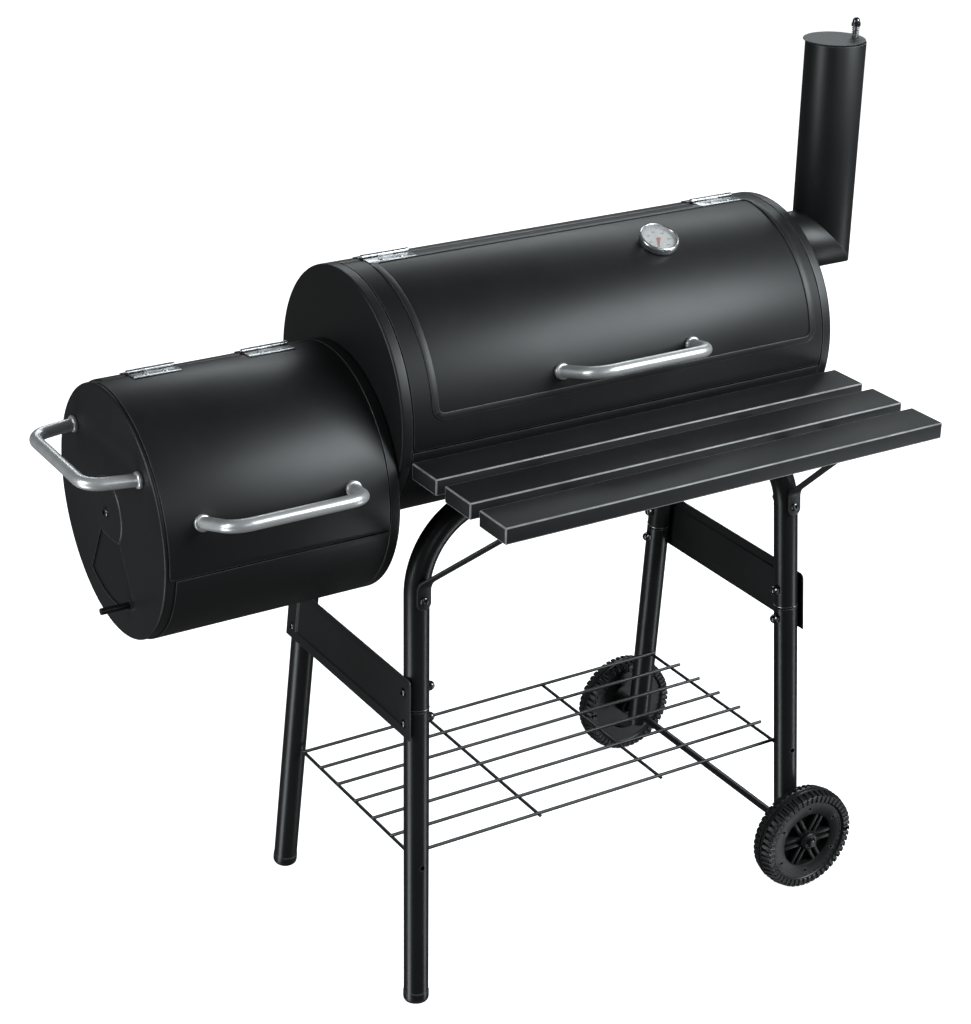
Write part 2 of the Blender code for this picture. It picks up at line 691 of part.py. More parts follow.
def vent_cutter():
    top = [(vent_top_half, -vent_top), (-vent_top_half, -vent_top)]
    return end_view([fan(vent_half_deg, vent_radius) + top],
                    (firebox_left, flap_pivot_y, flap_pivot_height), 2 * cut_past, "vent", cutter=True)


def air_damper():
    """The flap inside the firebox's end: a round head over a fan, with a lever out through the vent."""
    head_radius = hypot(vent_top_half, vent_top) + flap_lap
    head = [(head_radius * cos(radians(turn)), head_radius * sin(radians(turn)))
            for turn in range(-20, 201, 20)]
    skirt = fan(vent_half_deg + degrees(flap_lap / vent_radius), vent_radius + flap_lap)
    place = (firebox_left + 1.5 * wall + 2 * gap, flap_pivot_y, flap_pivot_height)
    flap = end_view([skirt + head, circle(rivet_hole, 16)], place, wall, "air_damper", black_steel)
    turn = radians(-lever_deg)
    lever_y = flap_pivot_y - lever_reach * sin(turn)
    lever_z = flap_pivot_height - lever_reach * cos(turn)
    lever = rod("lever_tool", (firebox_left - lever_length, lever_y, lever_z),
                (place[0] + wall * 0.4, lever_y, lever_z), lever_radius, None, 16, cutter=True)
    boolean(flap, lever, "UNION")
    inside = -(2 * wall + 3 * gap)
    tail_radius, tail = 1.8 * rivet_radius, 0.001
    profile = [(0, rivet_head), (1.4 * rivet_radius, 0.8 * rivet_head), (2 * rivet_radius, gap),
               (rivet_radius, gap), (rivet_radius, inside), (tail_radius, inside),
               (tail_radius, inside - tail), (0, inside - 1.5 * tail)]
    turned("air_damper_rivet", profile, (firebox_left, flap_pivot_y, flap_pivot_height), (-1, 0, 0), zinc,
           steps=16)


# ---------------------------------------------------------------- grates
def grate(name, x_range, half_width, middle_y, underside):
    """A flat grate: bars between slots, framed all round."""
    left, right = x_range
    pitch = grate_bar + grate_slot
    count = int((right - left - grate_bar) / pitch)
    margin = (right - left - count * pitch + grate_bar) / 2
    centre = (left + right) / 2
    outer = [(left - centre, -half_width), (right - centre, -half_width), (right - centre, half_width),
             (left - centre, half_width)]
    loops = [outer]
    for number in range(count):
        start = left - centre + margin + number * pitch
        end = start + grate_slot
        inner, outer_end = grate_bar / 2, half_width - 2 * grate_bar
        for near, far in ((inner, outer_end), (-outer_end, -inner)):
            loops.append([(start, near), (end, near), (end, far), (start, far)])
    outline_plate(name, loops, grate_thickness, (centre, middle_y, underside + grate_thickness / 2),
                  (0, 0, 1), grate_steel)


def resting_width(radius, drop):
    """Half the width at which a flat piece wedges across a drum, its underside this far below the axis."""
    inside = (radius - wall) * cos(radians(facet_deg / 2))
    return sqrt(inside ** 2 - drop ** 2) - gap


def grates():
    reach = barrel_end - rim_band - lip_length - grate_end_gap
    half = resting_width(barrel_radius, cooking_grate_drop)
    for side, x_range in (("left", (-reach, -gap)), ("right", (gap, reach))):
        grate(f"cooking_grate_{side}", x_range, half, 0, barrel_height - cooking_grate_drop)
    grate("charcoal_grate", (-reach, reach), resting_width(barrel_radius, charcoal_grate_drop), 0,
          barrel_height - charcoal_grate_drop)
    ends = rim_band + lip_length + grate_end_gap
    grate("firebox_grate", (firebox_left + ends, firebox_right - ends),
          resting_width(firebox_radius, firebox_grate_drop), firebox_y, firebox_height - firebox_grate_drop)


# ---------------------------------------------------------------- stand
def leg_line(side, end, height):
    """Centre of a leg at a height: side is left or right, end is front or rear."""
    below = arch_height - height
    x = left_leg_x - left_splay * below if side == "left" else right_leg_x + right_splay * below
    y = -(arch_y + front_lean * below) if end == "front" else arch_y + rear_lean * below
    return Vector((x, y, height))


def stand():
    spigot_radius = (tube_radius - wall) * cos(radians(15)) - gap
    spigot = spigot_radius / tube_radius
    for end in ("front", "rear"):
        joints = {side: leg_line(side, end, tube_joint_height) for side in ("left", "right")}
        ways = {side: (leg_line(side, end, arch_height) - joints[side]).normalized() for side in joints}
        corners = [joints["left"] + ways["left"] * spigot_shoulder, leg_line("left", end, arch_height),
                   leg_line("right", end, arch_height), joints["right"] + ways["right"] * spigot_shoulder]
        path = rounded_path(corners, arch_bend, steps=7)
        lower = {side: [joints[side] - ways[side] * spigot_length, joints[side]] for side in joints}
        path = lower["left"] + path + lower["right"][::-1]
        factors = [spigot, spigot] + [1] * (len(path) - 4) + [spigot, spigot]
        arch = bent_tube(f"{end}_leg_arch", path, tube_radius, black_steel, factors, caps=False)
        skin = arch.modifiers.new("tube_wall", "SOLIDIFY")
        skin.thickness = wall
        skin.offset = -1
        for side in ("left", "right"):
            foot = leg_line(side, end, 0 if side == "left" else wheel_radius - tube_radius)
            top = joints[side] - ways[side] * gap
            leg = pipe(f"{end}_{side}_leg", foot, top, tube_radius, wall, black_steel, sides=16,
                       start_plane=(foot, (0, 0, 1)), floor=foot_floor)
            if side == "right":
                middle = Vector((wheel_x, foot.y, wheel_radius))
                across = Vector((0, tube_radius + cut_past, 0))
                boolean(leg, rod(f"{end}_axle_hole", middle - across, middle + across, axle_bore, None, 16,
                                 cutter=True))


def side_panel(side):
    """A pressed panel bolted outside two legs: a web, and a band along each long edge standing proud."""
    out = -1 if side == "left" else 1
    top = panel_bottom + panel_height
    rows = [(panel_bottom, panel_step), (panel_bottom + panel_band - panel_step / 2, panel_step),
            (panel_bottom + panel_band + panel_step / 2, 0), (top - panel_band - panel_step / 2, 0),
            (top - panel_band + panel_step / 2, panel_step), (top, panel_step)]
    bm = bmesh.new()
    bmesh.ops.create_grid(bm, x_segments=1, y_segments=len(rows) - 1, size=1)
    for vertex in bm.verts:
        height, proud = rows[round((vertex.co.y + 1) / 2 * (len(rows) - 1))]
        end = "front" if vertex.co.x * out < 0 else "rear"
        leg = leg_line(side, end, height)
        face = leg.x + out * (tube_radius * 1.002 + 2 * gap + proud)
        edge = leg.y + (-1 if end == "front" else 1) * tube_radius
        vertex.co = (face, edge, height)
    panel = new_object(f"side_panel_{side}", finish_mesh("panel", bm), black_steel)
    skin = panel.modifiers.new("sheet", "SOLIDIFY")
    skin.thickness = panel_sheet
    skin.offset = 1


def bottom_rack():
    """Long wires between the end legs, welded on top of cross wires."""
    left, right = (leg_line(side, "front", rack_height).x for side in ("left", "right"))
    front = leg_line("left", "front", rack_height).y + tube_radius + rack_wire + rack_front_gap
    rear = leg_line("left", "rear", rack_height).y - tube_radius - rack_wire - rack_rear_gap
    bm = bmesh.new()
    for number in range(rack_wires):
        y = front + (rear - front) * number / (rack_wires - 1)
        reach = rack_overhang if 0 < number < rack_wires - 1 else 0
        lone_bar(bm, Vector((left, y, rack_height)), Vector((right + reach, y, rack_height)))
    rack = new_object("bottom_rack", finish_mesh("bottom_rack", bm), black_steel)
    bm = bmesh.new()
    under = rack_height - rack_wire * 1.3
    first, last = left + rack_cross_inset, right - rack_cross_inset
    for number in range(rack_cross_wires):
        x = first + (last - first) * number / (rack_cross_wires - 1)
        lone_bar(bm, Vector((x, front - 1.4 * rack_wire, under)), Vector((x, rear + 2.8 * rack_wire, under)))
    boolean(rack, new_object("rack_cross_wires", finish_mesh("rack_cross_wires", bm), cutter=True), "UNION")


def lone_bar(bm, start, end):
    """One wire of the rack, added to a mesh."""
    made = bmesh.ops.create_cone(bm, cap_ends=True, segments=8, radius1=rack_wire, radius2=rack_wire,
                                 depth=(end - start).length)
    turn = facing(end - start).to_matrix().to_4x4()
    bmesh.ops.transform(bm, matrix=Matrix.Translation((start + end) / 2) @ turn, verts=made["verts"])


def wheels():
    half_hub, half_width = hub_length / 2, wheel_width / 2
    band = wheel_radius - tread_depth
    ledge = half_width - 0.005
    face = [(axle_bore, half_hub), (hub_radius, half_hub), (hub_radius + 0.0005, web_half),
            (band - 0.013, web_half), (band - 0.009, ledge), (band - 0.002, ledge), (band, half_width),
            (wheel_radius - tyre_round, half_width), (wheel_radius, half_width - tyre_round)]
    profile = face + [(radius, -height) for radius, height in reversed(face)]
    for name, y in (("wheel_front", front_wheel_y), ("wheel_rear", rear_wheel_y)):
        turned(name, profile, (wheel_x, y, wheel_radius), (0, 1, 0), black_plastic, steps=28, closed=True)
    half = half_hub + axle_proud
    rod("axle", (wheel_x, front_wheel_y - half, wheel_radius), (wheel_x, rear_wheel_y + half, wheel_radius),
        axle_radius, zinc, 16)


# ---------------------------------------------------------------- shelf
def shelf():
    for number in range(slats):
        front = slat_front + number * slat_pitch
        box(f"shelf_slat_{number + 1}", (slat_left, front, slat_under),
            (slat_left + slat_length, front + slat_width, shelf_height), slat_paint, bevel=slat_edge)
    arm_top = slat_under - gap
    arch_face = -arch_y - tube_radius - gap
    reach = arch_face - slat_front - arm_front
    clear = max(0.0, sqrt(barrel_radius ** 2 - (barrel_height - arm_top) ** 2) + arch_face + lap)
    for side, sign in (("left", -1), ("right", 1)):
        outline = [(clear, arm_top), (0, arm_top - 4 * arm_thickness), (0, arch_height - tube_radius),
                   (arm_thickness, arch_height - tube_radius), (arm_thickness, arm_top - 4.5 * arm_thickness),
                   (clear + arm_thickness, arm_top - arm_thickness), (reach, arm_top - arm_thickness),
                   (reach, arm_top)]
        arm = outline_plate(f"shelf_arm_{side}", [outline], arm_width, (0, 0, 0), (0, 0, 1), black_steel)
        view = Matrix(((0, 0, 1), (-1, 0, 0), (0, 1, 0))).to_4x4()
        arm.matrix_local = Matrix.Translation((sign * arm_x, arch_face, 0)) @ view
        shelf_brace(side, sign)


def shelf_brace(side, sign):
    """A strap from the front of a leg up to the underside of the front slat."""
    foot_height = arch_height - brace_foot_drop
    foot = leg_line(side, "front", foot_height)
    bend = leg_line(side, "front", foot_height + brace_foot_run)
    front = Vector((0, -tube_radius - brace_thickness / 2 - 2 * gap, 0))
    top_y = slat_front + brace_front + brace_top_run
    top = Vector((sign * (barrel_end - brace_top_inset), top_y, slat_under - 2 * gap - brace_thickness / 2))
    end = top - Vector((0, brace_top_run, 0))
    spine = rounded_path([foot + front, bend + front, top, end], brace_bend, steps=4)
    bm = bmesh.new()
    bmesh.ops.create_grid(bm, x_segments=1, y_segments=len(spine) - 1, size=1)
    for vertex in bm.verts:
        middle = spine[round((vertex.co.y + 1) / 2 * (len(spine) - 1))]
        vertex.co = middle + Vector((vertex.co.x * brace_width / 2, 0, 0))
    strap = new_object(f"shelf_brace_{side}", finish_mesh("strap", bm), black_steel)
    skin = strap.modifiers.new("strap", "SOLIDIFY")
    skin.thickness = brace_thickness
    skin.offset = 0


main_barrel()
firebox()
hinges()
handles()
thermometer()
chimney()
air_damper()
grates()
stand()
side_panel("left")
side_panel("right")
bottom_rack()
wheels()
shelf()
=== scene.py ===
# Looks of the offset smoker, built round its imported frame.
import bmesh
import bpy
import json
from math import cos, degrees, pi, radians, sin, sqrt
from mathutils import Matrix, Vector

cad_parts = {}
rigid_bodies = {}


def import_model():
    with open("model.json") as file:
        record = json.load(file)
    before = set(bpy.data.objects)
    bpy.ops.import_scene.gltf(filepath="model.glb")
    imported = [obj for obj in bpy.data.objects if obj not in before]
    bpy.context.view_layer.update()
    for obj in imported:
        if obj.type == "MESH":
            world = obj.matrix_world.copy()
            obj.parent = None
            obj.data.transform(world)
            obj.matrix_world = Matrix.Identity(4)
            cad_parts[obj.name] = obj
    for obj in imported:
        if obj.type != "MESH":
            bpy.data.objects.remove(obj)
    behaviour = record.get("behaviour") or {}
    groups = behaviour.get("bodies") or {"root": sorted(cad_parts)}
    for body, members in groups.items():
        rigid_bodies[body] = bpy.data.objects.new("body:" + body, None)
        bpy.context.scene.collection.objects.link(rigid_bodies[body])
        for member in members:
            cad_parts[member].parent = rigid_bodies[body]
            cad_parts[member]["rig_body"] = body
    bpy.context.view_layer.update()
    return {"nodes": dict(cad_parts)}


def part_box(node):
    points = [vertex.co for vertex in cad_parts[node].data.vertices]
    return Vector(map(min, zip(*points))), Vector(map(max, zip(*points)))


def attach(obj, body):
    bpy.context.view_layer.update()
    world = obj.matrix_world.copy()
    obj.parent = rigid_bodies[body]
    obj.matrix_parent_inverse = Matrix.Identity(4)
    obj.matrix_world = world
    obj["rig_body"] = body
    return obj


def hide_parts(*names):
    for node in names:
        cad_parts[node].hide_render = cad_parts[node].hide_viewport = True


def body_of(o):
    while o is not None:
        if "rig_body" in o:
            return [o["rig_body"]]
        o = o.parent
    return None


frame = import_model()
bpy.ops.object.select_all(action="DESELECT")
print("frame loaded:", len(frame["nodes"]), "nodes")


# places that everything is set out from
def middleOfNode(name):
    low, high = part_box(name)
    return (low + high) / 2


def drumFrom(leftCap, rightCap, roundCap):
    low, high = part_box(roundCap)
    return {"y": (low.y + high.y) / 2, "z": (low.z + high.z) / 2, "radius": (high.z - low.z) / 2,
            "left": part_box(leftCap)[0].x, "right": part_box(rightCap)[1].x}


barrel = drumFrom("barrel_end_left", "barrel_end_right", "barrel_end_left")
firebox = drumFrom("firebox_end_left", "firebox_end_right", "firebox_end_right")
middleX = (barrel["left"] + barrel["right"]) / 2
sheet = {"wall": 0.0012, "gap": 0.0003, "lap": 0.0005, "rim": 0.013, "round": 0.003, "endGap": 0.0016,
         "lip": 0.018, "seamDeg": 0.35, "bottomDeg": -10.0}
barrel["pinDeg"], firebox["pinDeg"] = 97.5, 101.5


def fromMiddle(x, y, z):
    return Vector((middleX + x, barrel["y"] + y, z))


def onDrum(drum, x, deg, past=0.0):
    turn, reach = radians(deg), drum["radius"] + past
    return Vector((x, drum["y"] - reach * cos(turn), drum["z"] + reach * sin(turn)))


# ways of working
def clearSelection():
    if bpy.context.object and bpy.context.object.mode != "OBJECT":
        bpy.ops.object.mode_set(mode="OBJECT")
    bpy.ops.object.select_all(action="DESELECT")


def pick(thing):
    clearSelection()
    thing.select_set(True)
    bpy.context.view_layer.objects.active = thing


def selectAll():
    bpy.ops.mesh.select_all(action="SELECT")


def edit(thing):
    pick(thing)
    bpy.ops.object.mode_set(mode="EDIT")
    bpy.ops.mesh.select_mode(type="VERT")
    selectAll()


def choose(thing, kind, test):  # selects by place or normal in edit mode
    bpy.ops.mesh.select_mode(type=kind)
    bpy.ops.mesh.select_all(action="DESELECT")
    mesh = bmesh.from_edit_mesh(thing.data)
    for part in {"VERT": mesh.verts, "EDGE": mesh.edges, "FACE": mesh.faces}[kind]:
        if test(part):
            part.select_set(True)
    bmesh.update_edit_mesh(thing.data)


def middleOf(edge):
    return (edge.verts[0].co + edge.verts[1].co) / 2


def extrudeBy(step):
    bpy.ops.mesh.extrude_region_move(TRANSFORM_OT_translate={"value": tuple(step)})


def scaleBy(value, centre=(0, 0, 0)):
    bpy.ops.transform.resize(value=value, center_override=tuple(centre))


def bevelBy(offset, segments, kind):
    bpy.ops.mesh.bevel(offset=offset, segments=segments, affect=kind)


def faceOut():
    bpy.ops.mesh.normals_make_consistent(inside=False)


def cutAway(point, normal, fill=True, keepOuter=False):  # takes off all that lies past a plane
    selectAll()
    bpy.ops.mesh.bisect(plane_co=tuple(point), plane_no=tuple(normal), use_fill=fill,
                        clear_outer=not keepOuter, clear_inner=keepOuter)


def flip(thing):
    edit(thing)
    bpy.ops.mesh.flip_normals()
    clearSelection()


def setPlace(thing):  # puts the place, turn and size into the mesh
    pick(thing)
    bpy.ops.object.transform_apply(location=True, rotation=True, scale=True)


def applyAll(thing):
    pick(thing)
    for modifier in list(thing.modifiers):
        bpy.ops.object.modifier_apply(modifier=modifier.name)


def thicken(thing, thickness, offset=-1.0):
    skin = thing.modifiers.new("sheet", "SOLIDIFY")
    skin.thickness = thickness
    skin.offset = offset
    skin.use_even_offset = True
    applyAll(thing)


def softenEdges(thing, width, segments=2, limitDeg=40):
    edge = thing.modifiers.new("edges", "BEVEL")
    edge.width = width
    edge.segments = segments
    edge.limit_method = "ANGLE"
    edge.angle_limit = radians(limitDeg)
    applyAll(thing)


def cutWith(thing, cutter, operation="DIFFERENCE"):
    for used in (thing, cutter):
        used.data.update()
    bpy.context.view_layer.update()
    cut = thing.modifiers.new("cut", "BOOLEAN")
    cut.operation = operation
    cut.object = cutter
    cut.solver = "EXACT"
    applyAll(thing)
    bpy.data.objects.remove(cutter, do_unlink=True)


def joined(things):
    pick(things[0])
    for thing in things[1:]:
        thing.select_set(True)
    bpy.ops.object.join()
    return things[0]


def copyOf(thing, matrix):
    made = thing.copy()
    made.data = thing.data.copy()
    made.data.transform(matrix)
    bpy.context.scene.collection.objects.link(made)
    return made


def facingAlong(direction, place):  # turns a piece's own +Z to a direction
    turn = Vector(direction).to_track_quat("Z", "Y").to_matrix().to_4x4()
    return Matrix.Translation(Vector(place)) @ turn


def finishPiece(piece, name, body, slotName, material, *nodes, smoothDeg=32):
    setPlace(piece)
    piece.name = piece.data.name = name
    piece.data.materials.clear()
    piece.data.materials.append(material)
    bpy.ops.object.shade_smooth_by_angle(angle=radians(smoothDeg))
    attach(piece, body)
    if nodes:
        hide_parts(*nodes)


def newPlane(**where):
    clearSelection()
    bpy.ops.mesh.primitive_plane_add(size=1, **where)
    return bpy.context.object


def newCircle(steps, radius, **where):
    clearSelection()
    bpy.ops.mesh.primitive_circle_add(vertices=steps, radius=radius, **where)
    return bpy.context.object


def block(size, place, edge=0.0, segments=2):
    clearSelection()
    bpy.ops.mesh.primitive_cube_add(size=1, location=tuple(place))
    thing = bpy.context.object
    bpy.ops.transform.resize(value=tuple(size))
    setPlace(thing)
    if edge:
        edit(thing)
        bevelBy(edge, segments, "EDGES")
        clearSelection()
    return thing


def turnedPiece(profile, steps=48, closed=False, caps=(True, True)):
    # rings of (radius, height) about +Z, each extruded from the last and scaled to its radius
    thing = newCircle(steps, profile[0][0], location=(0, 0, profile[0][1]))
    setPlace(thing)
    edit(thing)
    for (radius, height), (nextRadius, nextHeight) in zip(profile, profile[1:]):
        extrudeBy((0, 0, nextHeight - height))
        share = nextRadius / radius
        scaleBy((share, share, 1), (0, 0, nextHeight))
    for (radius, height), wanted in zip((profile[0], profile[-1]), caps):
        if wanted and not closed:
            choose(thing, "EDGE", lambda edge: all(abs(v.co.z - height) < 1e-6 and
                                                   abs(v.co.xy.length - radius) < 1e-6 for v in edge.verts))
            bpy.ops.mesh.edge_face_add()
    selectAll()
    if closed:
        bpy.ops.mesh.remove_doubles(threshold=1e-6)
    faceOut()
    clearSelection()
    return thing


def placedTurn(thing, place, direction):
    thing.data.transform(facingAlong(direction, place))
    return thing


def shifted(thing, place):
    thing.data.transform(Matrix.Translation(place))
    return thing


def cylinder(radius, half, steps, place, way):
    return placedTurn(turnedPiece([(radius, -half), (radius, half)], steps=steps), place, way)


def roundedRod(radius, low, high, inset, rise, steps):
    return turnedPiece([(radius - inset, low), (radius, low + rise), (radius, high - rise), (radius - inset, high)],
                       steps=steps)


def tubeAlong(corners, radius, bend, sides, bendSteps):
    # a ring drawn out along straight runs and spun round each corner
    corners = [Vector(corner) for corner in corners]
    ways = [(b - a).normalized() for a, b in zip(corners, corners[1:])]
    turns = [a.angle(b) for a, b in zip(ways, ways[1:])]
    setBack = [bend * sin(turn / 2) / cos(turn / 2) for turn in turns]
    thing = newCircle(sides, radius)
    placedTurn(thing, corners[0], ways[0])
    edit(thing)
    start = corners[0]
    for number, way in enumerate(ways):
        last = number == len(ways) - 1
        end = corners[number + 1] - (Vector() if last else way * setBack[number])
        extrudeBy(end - start)
        if not last:
            axis = way.cross(ways[number + 1]).normalized()
            centre = end + axis.cross(way).normalized() * bend
            bpy.ops.mesh.spin(steps=bendSteps, angle=-turns[number], center=tuple(centre), axis=tuple(axis))
            start = corners[number + 1] + ways[number + 1] * setBack[number]
    selectAll()
    bpy.ops.mesh.remove_doubles(threshold=1e-6)
    bpy.ops.mesh.fill_holes(sides=0)
    faceOut()
    clearSelection()
    return thing


def rolledSheet(drum, xRange, degRange, corners=(0, 0), thickness=sheet["wall"], past=0.0,
                band=0.0, bandCorner=0.0, rowDeg=3.75, outward=False):
    # drawn flat, its outer face to the front, then rolled to the drum's curve; corners are (lower, upper)
    radius = drum["radius"] + past
    width, sweep = xRange[1] - xRange[0], radians(degRange[1] - degRange[0])
    length = radius * sweep
    thing = newPlane(rotation=(pi / 2, 0, 0))
    bpy.ops.transform.resize(value=(width, 1, length))
    setPlace(thing)
    edit(thing)
    for side, corner in zip((-1, 1), corners):
        if corner:
            choose(thing, "VERT", lambda v: abs(v.co.z - side * length / 2) < 1e-6)
            bevelBy(corner, 6, "VERTICES")
    if band:
        selectAll()
        bevelBy(bandCorner, 7, "VERTICES")
        choose(thing, "FACE", lambda face: True)
        bpy.ops.mesh.inset(thickness=band)
        bpy.ops.mesh.delete(type="FACE")
    rows = max(2, round(degrees(sweep) / rowDeg))
    for row in range(1, rows):
        selectAll()
        bpy.ops.mesh.bisect(plane_co=(0, 0, length * (row / rows - 0.5)), plane_no=(0, 0, 1))
    clearSelection()
    thicken(thing, thickness, 1.0 if outward else -1.0)
    softenEdges(thing, thickness * (0.45 if outward else 0.3), 2, 50)
    heights = [v.co.z for v in thing.data.vertices]
    roll = thing.modifiers.new("roll", "SIMPLE_DEFORM")
    roll.deform_method = "BEND"
    roll.deform_axis = "X"
    roll.angle = (max(heights) - min(heights)) / radius
    applyAll(thing)
    middle = radians(sum(degRange) / 2)
    thing.data.transform(Matrix.Translation((sum(xRange) / 2, drum["y"], drum["z"])) @
                         Matrix.Rotation(-middle, 4, "X") @ Matrix.Translation((0, -radius, 0)))
    return thing


# shared effects of the finishes
def feed(tree, socket, value):
    if isinstance(value, bpy.types.NodeSocket):
        tree.links.new(value, socket)
    elif socket.type == "RGBA":
        socket.default_value = (*value, 1.0)
    else:
        socket.default_value = value


def addNode(tree, kind, inputs, **settings):
    node = tree.nodes.new("ShaderNode" + kind)
    for label, value in settings.items():
        setattr(node, label, value)
    for label, value in inputs.items():
        feed(tree, node.inputs[label], value)
    return node.outputs


def mathNode(tree, operation, first, second, clamp=False):
    return addNode(tree, "Math", {0: first, 1: second}, operation=operation, use_clamp=clamp)[0]


def noiseNode(tree, place, scale, detail=3.0, roughness=0.55):
    inputs = {"Vector": place, "Scale": scale, "Detail": detail, "Roughness": roughness}
    return addNode(tree, "TexNoise", inputs)["Fac"]


def rangeNode(tree, value, low, high, toLow=0.0, toHigh=1.0):
    inputs = {"Value": value, "From Min": low, "From Max": high, "To Min": toLow, "To Max": toHigh}
    return addNode(tree, "MapRange", inputs)["Result"]


def newGroup(name, numbers, results):
    tree = bpy.data.node_groups.new(name, "ShaderNodeTree")
    tree.interface.new_socket(name="Place", in_out="INPUT", socket_type="NodeSocketVector")
    for label, value in numbers.items():
        socket = tree.interface.new_socket(name=label, in_out="INPUT", socket_type="NodeSocketFloat")
        socket.default_value = value
    for label in results:
        tree.interface.new_socket(name=label, in_out="OUTPUT", socket_type="NodeSocketFloat")
    return tree, tree.nodes.new("NodeGroupInput").outputs, tree.nodes.new("NodeGroupOutput").inputs


def makeFineGrain():
    tree, given, out = newGroup("fineGrain", {"Grain": 900.0, "Patches": 9.0}, ("Height", "Patch"))
    feed(tree, out["Height"], noiseNode(tree, given["Place"], given["Grain"], 2.0))
    wide = noiseNode(tree, given["Place"], given["Patches"], 4.0)
    feed(tree, out["Patch"], rangeNode(tree, wide, 0.3, 0.7))
    return tree


def makePaintedEdgeHighlight():  # painted highlight: lighter lines on rounded edges, and on faces marked for them
    tree, given, out = newGroup("paintedEdgeHighlight", {"Width": 0.001, "Breaks": 60.0}, ("Edge",))
    rounded = addNode(tree, "Bevel", {"Radius": given["Width"]}, samples=6)["Normal"]
    plain = addNode(tree, "NewGeometry", {})["Normal"]
    dot = addNode(tree, "VectorMath", {0: rounded, 1: plain}, operation="DOT_PRODUCT")["Value"]
    turned = rangeNode(tree, mathNode(tree, "SUBTRACT", 1.0, dot), 0.008, 0.09)
    # faces marked for the painted highlight line
    marked = addNode(tree, "Attribute", {}, attribute_name="highlightFaces")["Fac"]
    broken = rangeNode(tree, noiseNode(tree, given["Place"], given["Breaks"], 3.0), 0.25, 0.6, 0.45, 1.0)
    line = mathNode(tree, "MAXIMUM", turned, marked)
    feed(tree, out["Edge"], mathNode(tree, "MULTIPLY", line, broken, True))
    return tree


def makeDust():  # settles on what faces up
    tree, given, out = newGroup("lightDust", {"Scale": 30.0}, ("Dust",))
    parts = addNode(tree, "SeparateXYZ", {0: addNode(tree, "NewGeometry", {})["Normal"]})
    up = rangeNode(tree, parts["Z"], 0.2, 1.0)
    speck = rangeNode(tree, noiseNode(tree, given["Place"], given["Scale"], 6.0, 0.7), 0.45, 0.8)
    feed(tree, out["Dust"], mathNode(tree, "MULTIPLY", up, speck, True))
    return tree


fineGrain, paintedEdgeHighlight, lightDust = makeFineGrain(), makePaintedEdgeHighlight(), makeDust()


def placeGroup(tree, group, place, **values):
    return addNode(tree, "Group", {"Place": place, **values}, node_tree=group)


def mixColour(tree, share, first, second):
    return addNode(tree, "Mix", {"Factor": share, "A": first, "B": second}, data_type="RGBA")["Result"]


def newMaterial(name):
    made = bpy.data.materials.new(name)
    made.use_nodes = True
    tree = made.node_tree
    return made, tree, tree.nodes["Principled BSDF"].inputs, addNode(tree, "TexCoord", {})["Object"]


def addBump(tree, shader, height, strength, distance):
    inputs = {"Height": height, "Strength": strength, "Distance": distance}
    feed(tree, shader["Normal"], addNode(tree, "Bump", inputs)["Normal"])


def paintedFinish(name, values):
    made, tree, shader, place = newMaterial(name)
    grain = placeGroup(tree, fineGrain, place, Grain=values["grain"], Patches=values["patches"])
    edge = placeGroup(tree, paintedEdgeHighlight, place, Width=values["edgeWidth"], Breaks=values["breaks"])["Edge"]
    dust = placeGroup(tree, lightDust, place, Scale=values["dustScale"])["Dust"]
    colour = mixColour(tree, grain["Patch"], values["dark"], values["light"])
    colour = mixColour(tree, mathNode(tree, "MULTIPLY", dust, values["dust"]), colour, values["dustColour"])
    # painted highlight: a lighter colour along rounded edges and marked faces
    colour = mixColour(tree, mathNode(tree, "MULTIPLY", edge, values["highlightShare"]), colour, values["edge"])
    rough = rangeNode(tree, grain["Patch"], 0.0, 1.0, values["roughLow"], values["roughHigh"])
    polish = mathNode(tree, "MULTIPLY", edge, values["polish"])
    feed(tree, shader["Base Color"], colour)
    feed(tree, shader["Roughness"], mathNode(tree, "SUBTRACT", rough, polish))
    feed(tree, shader["Specular IOR Level"], values["specular"])
    addBump(tree, shader, grain["Height"], values["bump"], values["bumpDistance"])
    return made


def metalFinish(name, values):
    made, tree, shader, place = newMaterial(name)
    drawn = addNode(tree, "Mapping", {"Vector": place, "Scale": values["stretch"]})["Vector"]
    lines = placeGroup(tree, fineGrain, drawn, Grain=values["grain"], Patches=values["patches"])
    rough = rangeNode(tree, lines["Height"], 0.2, 0.8, values["roughLow"], values["roughHigh"])
    feed(tree, shader["Base Color"], mixColour(tree, lines["Patch"], values["dark"], values["light"]))
    feed(tree, shader["Roughness"], rough)
    feed(tree, shader["Metallic"], values["metallic"])
    addBump(tree, shader, lines["Height"], values["bump"], 0.0001)
    return made


# edge and its share set the painted highlight colour along rounded edges
coatValues = {
    "dark": (0.0095, 0.0095, 0.01), "light": (0.013, 0.013, 0.0135), "edge": (0.2, 0.2, 0.205),
    "dustColour": (0.05, 0.05, 0.05), "dust": 0.1, "highlightShare": 0.55, "edgeWidth": 0.0018, "breaks": 40.0,
    "grain": 1500.0, "patches": 7.0, "dustScale": 45.0, "roughLow": 0.4, "roughHigh": 0.46,
    "bump": 0.05, "bumpDistance": 0.0002, "specular": 0.5, "polish": 0.15}
blackCoat = paintedFinish("blackCoat", coatValues)
tubeCoat = paintedFinish("tubeCoat", {**coatValues, "roughLow": 0.3, "roughHigh": 0.36, "highlightShare": 0.4})
# slats get a brighter painted highlight line on their rounded edges
slatPaint = paintedFinish("slatPaint", {
    **coatValues, "dark": (0.01, 0.01, 0.011), "light": (0.015, 0.015, 0.016), "edge": (0.4, 0.4, 0.41),
    "roughLow": 0.46, "roughHigh": 0.54, "highlightShare": 1.0, "polish": 0.22, "edgeWidth": 0.0024, "grain": 700.0})
